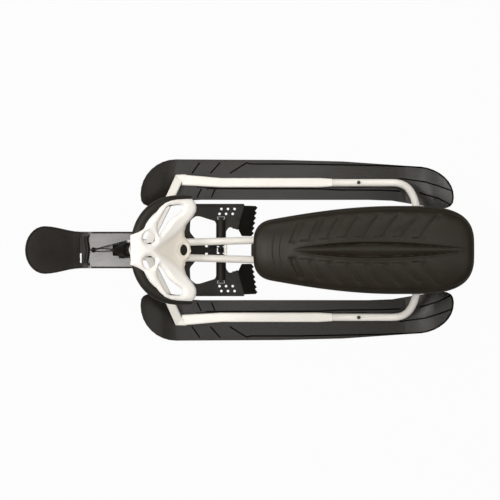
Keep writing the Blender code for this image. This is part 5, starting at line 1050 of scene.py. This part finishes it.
@dataclass
class Steering:
    """Column, collars, fork, reel and the bracket on the front ski."""

    shop: Workshop
    edge: float = 0.7 * MM
    bolt_edge: float = 0.35 * MM
    fine_edge: float = 0.28 * MM
    sharp: float = 40.0
    column_sharp: float = 50.0
    # The round nose of the bracket's foot: how many cuts it has, and its least share of the width.
    nose_length: float = 36.0 * MM
    nose_cuts: int = 9
    nose_tip: float = 0.16
    nose_power: float = 1.5
    foot_top: float = 15.0 * MM

    def build(self) -> None:
        """Dress the nodes under the wheel."""
        dress = self.shop.dress
        dress(["steering_column"], BLACK_OXIDE, sharp=self.column_sharp)
        dress(("column_collar_lower", "column_collar_upper", "steering_fork", "reel_housing", "reel_cover"),
              NYLON_BLACK, self.edge, self.sharp)
        self.bracket()
        dress(("reel_pin", "ski_pivot_bolt", "ski_pivot_nut"), BLACK_OXIDE, self.bolt_edge)
        dress(["reel_drum"], NYLON_BLACK, self.fine_edge)
        dress(["cord_spout"], ABS_WHITE, self.fine_edge)

    def bracket(self) -> None:
        """Taper the front of the bracket's foot to a round nose on the ski."""
        bm = self.shop.copied("ski_bracket")
        dissolve_flat(bm)
        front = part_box("ski_bracket")[0][0]
        for step in range(1, self.nose_cuts):
            cut_through(bm, Vector((front + self.nose_length * step / self.nose_cuts, 0, 0)),
                        Vector((1, 0, 0)))
        for vert in bm.verts:
            share = (vert.co.x - front) / self.nose_length
            if share < 1 and vert.co.z < self.foot_top:
                vert.co.y *= max(self.nose_tip, 1 - (1 - max(0.0, share)) ** self.nose_power)
        self.shop.finished("ski_bracket", bm, NYLON_BLACK, self.edge, self.sharp)


@dataclass
class TowLine:
    """The tow handle, its guide on the ski and the cords between handle, guide, reel and fork."""

    shop: Workshop
    fork: Matrix = field(init=False)
    edge: float = 0.5 * MM
    sharp: float = 40.0
    cord_radius: float = 1.4 * MM
    return_radius: float = 1.3 * MM
    cord_sides: int = 14
    cord_sharp: float = 60.0
    curve_steps: int = 5
    gap: float = 0.3 * MM
    guide_x: float = -406.0 * MM
    guide_eye_z: float = 22.3 * MM
    guide_wall: float = 2.0 * MM
    guide_neck: float = 2.6 * MM
    guide_foot_top: float = 12.0 * MM
    # The leaf that the handle clips on, a dark plate that covers the ski's slot and stands in for the shadow
    # in it: its outline in millimetres and its heights.
    slot_shade_leaf: Points = ((-442.0, -9.0), (-437.5, -9.0), (-437.5, -36.2), (-429.5, -36.2), (-426.0, -33.5),
                     (-426.0, 33.5), (-429.5, 36.2), (-442.0, 36.2))
    slot_shade_leaf_z: tuple[float, float] = (14.6 * MM, 16.6 * MM)
    handle_end_x: float = -415.3 * MM
    handle_z: float = 16.7 * MM
    # Where the cords leave the spout and the fork's nose, in the frame of the steering axis.
    spout: tuple[float, float, float] = (-4.0 * MM, 23.2 * MM, 47.5 * MM)
    fork_nose: tuple[float, float, float] = (-30.0 * MM, 2.2 * MM, 22.0 * MM)
    # The short line sags a little between its ends.
    line_shares: tuple[float, float] = (0.35, 0.68)
    line_sag: float = 0.4 * MM
    # The cord runs straight out of the spout, over a low hump, and level into the guide's eye.
    spout_run: float = 6.0 * MM
    cord_shares: tuple[float, float] = (0.6, 0.25)
    cord_hump: float = 4.0 * MM
    eye_runs: tuple[float, float] = (8.0 * MM, 3.0 * MM)
    eye_rise: float = 0.6 * MM
    # The loop leaves the fork's nose along it, and comes down to the guide's foot.
    nose_runs: tuple[float, float] = (3.0 * MM, 6.0 * MM)
    nose_sag: float = 1.0 * MM
    foot_runs: tuple[float, float] = (12.0 * MM, 3.0 * MM)
    foot_rise: float = 6.0 * MM
    bend_steps: int = 8

    def build(self) -> None:
        """Dress handle and guide, and lay the cords on the routes of their CAD solids."""
        self.fork = self.shop.steering_frame()
        self.shop.dress(("tow_handle", "cord_guide"), NYLON_BLACK, self.edge, self.sharp)
        # The dark leaf in the ski's slot stands in for the shadow there.
        self.shop.plate("tow_handle_latch", in_metres(self.slot_shade_leaf), self.slot_shade_leaf_z, self.edge, "tow_handle")
        self.tow_line()
        self.tow_cord()
        self.return_cord()

    def cord(self, name: str, route: Sequence[Vector], radius: float, node: str) -> bpy.types.Object:
        """Sweep a braided cord that crosses a joint.

        Args:
            name: The piece's name.
            route: The points that it passes.
            radius: Its radius.
            node: The CAD node that it replaces.

        Returns:
            The piece.
        """
        path = curve_through(route, self.curve_steps)
        return self.shop.piece(name, sweep(path, radius, self.cord_sides), CORD_BRAID, "", [node],
                               self.cord_sharp)

    def declare(self, route: Sequence[Vector]) -> None:
        """Work out the points along a free cord's curve, which are not used further.

        Args:
            route: The points that it passes.
        """
        path = [tuple(spot) for spot in curve_through(route, self.curve_steps)]

    def tow_line(self) -> None:
        """Lay the short line from the guide to the handle's stem."""
        start = Vector((self.handle_end_x + self.gap, 0, self.handle_z))
        end = Vector((self.guide_x - 2 * self.guide_wall, 0, self.guide_eye_z))
        near, far = self.line_shares
        route = [start, start.lerp(end, near) - UP * self.line_sag, start.lerp(end, far), end]
        line = self.cord("tow_line_braid", route, self.cord_radius, "tow_line")
        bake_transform(line)

    def tow_cord(self) -> None:
        """Lay the cord from the reel's spout to the guide."""
        x, y, z = self.spout
        mouth = self.fork @ Vector((x - self.gap, y, z))
        ahead = self.fork @ Vector((x - self.spout_run, y, z))
        end = Vector((self.guide_x - 2 * self.guide_wall + 2 * self.gap, 0, self.guide_eye_z))
        run = ahead - end
        near, far = self.cord_shares
        early, late = self.eye_runs
        route = [mouth, ahead, end + run * near + UP * self.cord_hump, end + run * far,
                 end + Vector((early, 0, self.eye_rise)), end + Vector((late, 0, 0)), end]
        cord = self.cord("tow_cord_braid", route, self.cord_radius, "tow_cord")
        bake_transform(cord)
        self.declare(route)

    def return_cord(self) -> None:
        """Lay the loop from the fork's nose round the guide's neck and back."""
        x, y, z = self.fork_nose
        root = self.fork @ Vector((x - self.gap, y, z))
        forward = (self.fork.to_3x3() @ Vector((-1, 0, 0))).normalized()
        turn = self.guide_neck + self.return_radius + self.gap
        low = self.guide_foot_top + self.return_radius + self.gap
        near, far = self.nose_runs
        early, late = self.foot_runs
        side = [root, root + forward * near, root + forward * far - UP * self.nose_sag,
                Vector((self.guide_x + early, turn, low + self.foot_rise)),
                Vector((self.guide_x + late, turn, low))]
        angles = [math.pi * step / self.bend_steps for step in range(self.bend_steps + 1)]
        bend = [Vector((self.guide_x - turn * math.sin(angle), turn * math.cos(angle), low))
                for angle in angles]
        route = side + bend + [Vector((spot.x, -spot.y, spot.z)) for spot in reversed(side)]
        cord = self.cord("return_cord_braid", route, self.return_radius, "return_cord")
        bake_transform(cord)
        self.declare(route)


@dataclass
class Seat:
    """The padded seat: a moulded foam pad with a long lens down its middle and chevron channels.

    Its own frame has s back from the nose, y to the rider's right and z up from the pad's underside.
    Shares are of the length, and a power says how square a round is.
    """

    shop: Workshop
    base: Vector = field(init=False)
    pan_edge: float = 0.6 * MM
    # The outline from above.
    length: float = 563.5 * MM
    overhang: float = 5.0 * MM
    half_width: float = 112.5 * MM
    nose_width: float = 0.62
    widest: float = 0.65
    nose_share: float = 0.095
    nose_power: float = 3.0
    tail_start: float = 0.70
    tail_share: float = 0.30
    tail_power: float = 3.1
    # The heights along the middle, and the lengths of the rounds at both ends.
    bottom_side: float = 26.0 * MM
    nose_height: float = 46.0 * MM
    height: float = 62.0 * MM
    height_share: float = 0.45
    tail_kick: float = 10.0 * MM
    kick_start: float = 0.55
    kick_share: float = 0.40
    end_rounds: tuple[float, float] = (45.0 * MM, 40.0 * MM)
    end_power: float = 2.4
    # The section across, over a skirt whose rows are given as drop and share of the width.
    crown: float = 11.0 * MM
    side_power: float = 3.3
    skirt: float = 15.0 * MM
    skirt_rows: tuple[tuple[float, float], ...] = ((0.5, 1.0), (0.96, 0.972))
    # The grid: how much of its spacing crowds towards the ends, how much is even, and where it closes.
    # The relief grows from nothing at the edge of the section.
    columns: int = 350
    rows: int = 250
    end_trim: float = 2.5 * MM
    crowded: float = 0.55
    even: float = 0.45
    tip_share: float = 0.001
    merge: float = 0.02 * MM
    sharp: float = 70.0
    relief_growth: float = 1.6
    relief_delay: float = 0.4
    # The lens, its ridge and its valleys.
    spine: tuple[float, float] = (99.0 * MM, 553.0 * MM)
    spine_half: float = 21.0 * MM
    spine_depth: float = 7.5 * MM
    lens_powers: tuple[float, float] = (0.88, 0.78)
    lens_least: float = 1.0 * MM
    full_depth_share: float = 0.8
    full_depth_power: float = 1.2
    valley_share: float = 0.74
    valley_power: float = 1.45
    lip_place: float = 1.06
    lip_width: float = 2.6 * MM
    lip_rise: float = 0.9 * MM
    lip_full_half: float = 8.0 * MM
    # The channels. In millimetres: where each begins beside the lens and ends near the edge, and then the
    # points of its foot and its corner.
    channel_spans: Points = ((20.0, 68.0), (24.0, 74.0), (29.0, 80.0), (33.4, 81.0), (33.4, 83.6),
                             (34.4, 83.6), (34.4, 79.0), (31.0, 87.0))
    channel_corner: Points = ((-6.0, -0.5), (-6.0, 0.0), (-1.5, 2.0))
    channel_first: float = 98.0 * MM
    channel_pitch: float = 47.0 * MM
    channel_leans: tuple[float, float] = (18.0 * MM, 38.0 * MM)
    channel_run: float = 19.0 * MM
    channel_rise: float = 6.0 * MM
    channel_steps: int = 5
    channel_bow: float = 1.25
    channel_limit: float = 99.0 * MM
    channel_margins: tuple[float, float] = (18.0 * MM, 30.0 * MM)
    channel_fade: float = 16.0 * MM
    line_width: float = 3.4 * MM
    line_depth: float = 1.7 * MM
    band_shift: float = 5.0 * MM
    band_width: float = 20.0 * MM
    band_depth: float = 1.9 * MM
    first_weight: float = 1.5
    # The creases across the nose: a sunk line and a raised one behind it, each as height and width.
    wrinkles: tuple[float, ...] = (51.0 * MM, 69.0 * MM)
    wrinkle_radius: float = 105.0 * MM
    wrinkle_reach: float = 0.6
    wrinkle_sink: tuple[float, float] = (0.8 * MM, 3.6 * MM)
    wrinkle_rise: tuple[float, float] = (0.7 * MM, 7.0 * MM)
    wrinkle_step: float = 4.0 * MM
    wrinkle_half: float = 0.42
    wrinkle_fade: float = 20.0 * MM
    # The seam line, whose place and width are shares of the half width.
    seam_place: float = 0.915
    seam_width: float = 0.07
    seam_depth: float = 2.0 * MM
    seam_least_half: float = 20.0 * MM
    fill: float = 0.9

    def build(self) -> None:
        """Make the pad and dress the pan under it."""
        low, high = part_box("seat_pad")
        self.base = Vector((high[0] + self.overhang - self.length, 0.0, low[2]))
        self.pad()
        self.shop.dress(["seat_pan"], NYLON_BLACK, self.pan_edge)

    def side(self, s: float) -> float:
        """Give half the seat's width.

        Args:
            s: The distance behind the nose.

        Returns:
            The distance from the middle to the edge.
        """
        share = s / self.length
        swell = math.sin(math.pi / 2 * min(1.0, share / self.widest))
        body = self.nose_width + (1 - self.nose_width) * swell
        nose = rounded_end(1 - share / self.nose_share, self.nose_power)
        tail = rounded_end((share - self.tail_start) / self.tail_share, self.tail_power)
        return self.half_width * body * nose * tail

    def top(self, s: float) -> float:
        """Give the pad's height along its middle.

        Args:
            s: The distance behind the nose.

        Returns:
            The height above the pad's underside.
        """
        share = s / self.length
        nose_round, tail_round = self.end_rounds
        nose = rounded_end(1 - s / nose_round, self.end_power)
        tail = rounded_end((s - self.length) / tail_round + 1, self.end_power)
        level = self.nose_height + (self.height - self.nose_height) * ease(share / self.height_share)
        level += self.tail_kick * ease((share - self.kick_start) / self.kick_share)
        return self.bottom_side + (level - self.bottom_side) * nose * tail

    def lens(self, s: float) -> float:
        """Give half the width of the lens.

        Args:
            s: The distance behind the nose.

        Returns:
            The distance from the middle to the lens's edge.
        """
        start, end = self.spine
        share = clamp((s - start) / (end - start))
        early, blunt = self.lens_powers
        return self.spine_half * math.sin(math.pi * share ** early) ** blunt if 0 < share < 1 else 0.0

    def spine_relief(self, s: float, y: float) -> float:
        """Give the relief of the lens: a ridge along its middle, a valley each side, and raised lips.

        Args:
            s: The distance behind the nose.
            y: The distance to the rider's right.

        Returns:
            The height that the lens adds.
        """
        half = self.lens(s)
        if half < self.lens_least:
            return 0.0
        reach = abs(y) / half
        full = min(1.0, half / (self.full_depth_share * self.spine_half)) ** self.full_depth_power
        depth = self.spine_depth * full
        share = self.valley_share
        sink = (reach / share) ** self.valley_power if reach < share else ease((1 - reach) / (1 - share))
        lip = math.exp(-((abs(y) - self.lip_place * half) / self.lip_width) ** 2)
        return self.lip_rise * lip * min(1.0, half / self.lip_full_half) - depth * sink

    def channel_paths(self) -> list[list[tuple[float, float]]]:
        """Lay out the channels: a foot beside the lens, a corner, then a bow out and back.

        Returns:
            The route of each channel, as distances behind the nose and from the middle.
        """
        first, last = self.channel_leans
        before, corner, after = in_metres(self.channel_corner)
        spans = in_metres(self.channel_spans)
        paths = []
        for index, (foot, top) in enumerate(spans):
            start = self.channel_first + self.channel_pitch * index
            lean = first + (last - first) * index / (len(spans) - 1)
            run = self.channel_run if index else 0.0
            path = [(start + before[0] - run, foot + before[1]), (start + corner[0], foot + corner[1]),
                    (start + after[0], foot + after[1])]
            for step in range(self.channel_steps + 1):
                share = step / self.channel_steps
                path.append((start + lean * share ** self.channel_bow,
                             foot + self.channel_rise + (top - foot - self.channel_rise) * share))
            paths.append(path)
        return paths

    def channel_relief(self, s: float, y: float, paths: list[list[tuple[float, float]]]) -> float:
        """Give the relief of the channels: a thin line with a shallow band behind it.

        Args:
            s: The distance behind the nose.
            y: The distance to the rider's right.
            paths: The routes of the channels.

        Returns:
            The height that the channels add, which is below 0.
        """
        reach = abs(y)
        if reach > self.channel_limit:
            return 0.0
        before, behind = self.channel_margins
        result = 0.0
        for path in paths:
            if not path[0][0] - before < s < path[-1][0] + behind:
                continue
            line = distance_to_lines((s, reach), pairwise(path))
            band = distance_to_lines((s - self.band_shift, reach), pairwise(path[len(self.channel_corner):]))
            weight = self.first_weight if path is paths[0] and y < 0 else 1.0
            result = max(result, weight * self.line_depth * groove(line, self.line_width)
                         + weight * self.band_depth * groove(band, self.band_width))
        return -result * ease((self.side(s) - reach) / self.channel_fade)

    def wrinkle_relief(self, s: float, y: float) -> float:
        """Give the relief of the curved creases across the nose.

        Args:
            s: The distance behind the nose.
            y: The distance to the rider's right.

        Returns:
            The height that they add.
        """
        (sink, sink_width), (rise, rise_width) = self.wrinkle_sink, self.wrinkle_rise
        result = 0.0
        for start in self.wrinkles:
            across = math.hypot(s - start - self.wrinkle_radius, y) - self.wrinkle_radius
            if s < start + self.wrinkle_reach * self.wrinkle_radius:
                result -= (sink * groove(across, sink_width)
                           - rise * groove(across - self.wrinkle_step, rise_width))
        return result * ease((self.wrinkle_half * self.half_width - abs(y)) / self.wrinkle_fade)

    def station(self, share: float) -> float:
        """Give how far back a row of the grid lies.

        Args:
            share: The row's share of all the rows, from 0 at the nose to 1 at the tail.

        Returns:
            The distance behind the nose.
        """
        if not self.tip_share < share < 1 - self.tip_share:
            return 0.0 if share < 0.5 else self.length
        spread = self.crowded * (1 - math.cos(math.pi * share)) / 2 + self.even * share
        return self.end_trim + (self.length - 2 * self.end_trim) * spread

    def surface(self) -> bmesh.types.BMesh:
        """Bend a grid over the seat's round section, and sink the relief and the seam into it.

        Returns:
            The open upper side of the pad.
        """
        bm = bmesh.new()
        bmesh.ops.create_grid(bm, x_segments=self.columns, y_segments=self.rows, size=0.5)
        paths = self.channel_paths()
        for vert in bm.verts:
            s, reach = self.station(vert.co.x + 0.5), math.sin(vert.co.y * math.pi)
            half = self.side(s)
            y = half * reach
            arch = rounded_end(abs(reach), self.side_power)
            z = self.skirt + (self.top(s) - self.crown * (y / self.half_width) ** 2 - self.skirt) * arch
            relief = self.spine_relief(s, y) + self.channel_relief(s, y, paths) + self.wrinkle_relief(s, y)
            fade = ease(arch * self.relief_growth - self.relief_delay)
            vert.co = self.base + Vector((s, y, z + relief * fade))
            if half > self.seam_least_half:
                vert.co.z -= self.seam_depth * groove(abs(y) - self.seam_place * half, self.seam_width * half)
        bmesh.ops.remove_doubles(bm, verts=bm.verts, dist=self.merge)
        bmesh.ops.dissolve_degenerate(bm, dist=self.merge, edges=bm.edges)
        return bm

    def pad(self) -> None:
        bm = self.surface()
        rim = [edge for edge in bm.edges if edge.is_boundary]
        for drop, inset in self.skirt_rows:
            grown = bmesh.ops.extrude_edge_only(bm, edges=rim)["geom"]
            rim = picked(grown, bmesh.types.BMEdge)
            for vert in picked(grown, bmesh.types.BMVert):
                vert.co.z = self.base.z + self.skirt - drop * self.skirt
                vert.co.y *= inset
        bmesh.ops.edgeloop_fill(bm, edges=rim)
        bmesh.ops.recalc_face_normals(bm, faces=bm.faces)
        pad = self.shop.piece("seat_foam_pad", bm, SEAT_SKIN, self.shop.bodies["seat_pad"], ["seat_pad"],
                              self.sharp)


@dataclass(frozen=True)
class Lamp:
    """A soft rectangular lamp, with its place, its length and width, and its power in watts.

    It faces straight down where it is level, and else the middle of the sled.
    """

    name: str
    place: tuple[float, float, float]
    size: tuple[float, float]
    power: float
    level: bool = True

    def hang(self, tone: str, aim: Vector) -> None:
        """Put the lamp into the scene.

        Args:
            tone: The colour of its light.
            aim: What it faces where it isn't level.
        """
        data = bpy.data.lights.new(self.name, "AREA")
        data.shape = "RECTANGLE"
        data.size, data.size_y = self.size
        data.energy = self.power
        data.color = linear_colour(tone)[:3]
        lamp = bpy.data.objects.new(self.name, data)
        lamp.location = self.place
        if not self.level:
            lamp.rotation_euler = (aim - Vector(self.place)).to_track_quat("-Z", "Y").to_euler()
        bpy.context.scene.collection.objects.link(lamp)


@dataclass
class Studio:
    """Floor, lights and the camera above the sled."""

    camera_place: tuple[float, float, float] = (0.017, 0.0, 4.0)
    camera_lens: float = 106.3
    sensor_width: float = 36.0
    floor_size: float = 12.0
    floor_tone: str = "#9C9C9C"
    floor_glow: float = 0.96
    light_tone: str = "#FFFCF9"
    world_strength: float = 0.74
    horizon_strength: float = 0.10
    sky_fade: tuple[float, float] = (0.25, 0.80)
    aim: tuple[float, float, float] = (0.0, 0.0, 0.15)
    lamps: tuple[Lamp, ...] = (
        Lamp("front_softbox", (-1.9, 0.3, 2.4), (0.8, 1.3), 27.0, False),
        Lamp("side_softbox", (0.1, 2.2, 2.6), (1.5, 1.2), 19.0, False),
        Lamp("rear_softbox", (2.2, -0.3, 2.6), (1.4, 1.6), 9.0, False),
        Lamp("seat_panel", (0.06, 0.0, 3.0), (0.40, 0.34), 2.6),
        Lamp("nose_panel", (-0.70, 0.0, 3.0), (0.60, 0.42), 20.0),
        Lamp("ski_panel_left", (0.28, -0.40, 3.0), (0.8, 0.30), 1.6),
        Lamp("ski_panel_right", (0.28, 0.40, 3.0), (0.8, 0.30), 4.2))

    def build(self) -> None:
        """Set the whole stage."""
        scene = bpy.context.scene
        scene.view_settings.view_transform = "Standard"
        self.floor()
        self.world()
        for lamp in self.lamps:
            lamp.hang(self.light_tone, Vector(self.aim))
        data = bpy.data.cameras.new("camera")
        data.lens = self.camera_lens
        data.sensor_width = self.sensor_width
        camera = bpy.data.objects.new("camera", data)
        camera.location = self.camera_place
        scene.collection.objects.link(camera)
        scene.camera = camera

    def floor(self) -> None:
        """Lay a plain floor that is white behind the sled and keeps its soft shadow."""
        bm = bmesh.new()
        bmesh.ops.create_grid(bm, x_segments=1, y_segments=1, size=self.floor_size / 2)
        mesh = bpy.data.meshes.new("floor")
        bm.to_mesh(mesh)
        bm.free()
        mesh.materials.append(self.floor_material())
        floor = bpy.data.objects.new("floor", mesh)
        bpy.context.scene.collection.objects.link(floor)

    def floor_material(self) -> bpy.types.Material:
        """Make paper that is white to the camera but throws little light up at the sled's sides.

        Returns:
            The material.
        """
        material = bpy.data.materials.new("studio_paper_white")
        material.use_nodes = True
        tree = material.node_tree
        tree.nodes.clear()
        seen = add_node(tree, "ShaderNodeLightPath").outputs["Is Camera Ray"]
        share = add_node(tree, "ShaderNodeMath", {0: seen, 1: self.floor_glow}, operation="MULTIPLY")
        paper = add_node(tree, "ShaderNodeBsdfDiffuse", {"Color": linear_colour(self.floor_tone)})
        glow = add_node(tree, "ShaderNodeEmission", {"Color": linear_colour("#FFFFFF"), "Strength": 1.0})
        both = add_node(tree, "ShaderNodeMixShader",
                        {0: share.outputs[0], 1: paper.outputs[0], 2: glow.outputs[0]})
        add_node(tree, "ShaderNodeOutputMaterial", {"Surface": both.outputs[0]})
        return material

    def world(self) -> None:
        """Fill the room with white light from above that fades towards the horizon."""
        world = bpy.data.worlds.new("studio")
        world.use_nodes = True
        tree = world.node_tree
        place = add_node(tree, "ShaderNodeTexCoord")
        parts = add_node(tree, "ShaderNodeSeparateXYZ", {0: place.outputs["Generated"]})
        low, high = self.sky_fade
        strength = add_node(tree, "ShaderNodeMapRange",
                            {"Value": parts.outputs["Z"], "From Min": low, "From Max": high,
                             "To Min": self.horizon_strength, "To Max": self.world_strength})
        background = tree.nodes["Background"]
        background.inputs["Color"].default_value = linear_colour(self.light_tone)
        tree.links.new(strength.outputs[0], background.inputs["Strength"])
        bpy.context.scene.world = world


def main() -> None:
    """Load the frame, set the stage and build every sub-assembly."""
    logging.basicConfig(level=logging.INFO, format="%(name)s: %(message)s")
    shop = Workshop(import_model())
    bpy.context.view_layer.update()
    Studio().build()
    for maker in (Frame, Skis, Brake, Wheel, Steering, TowLine, Seat):
        maker(shop).build()


if __name__ == "__main__":
    main()
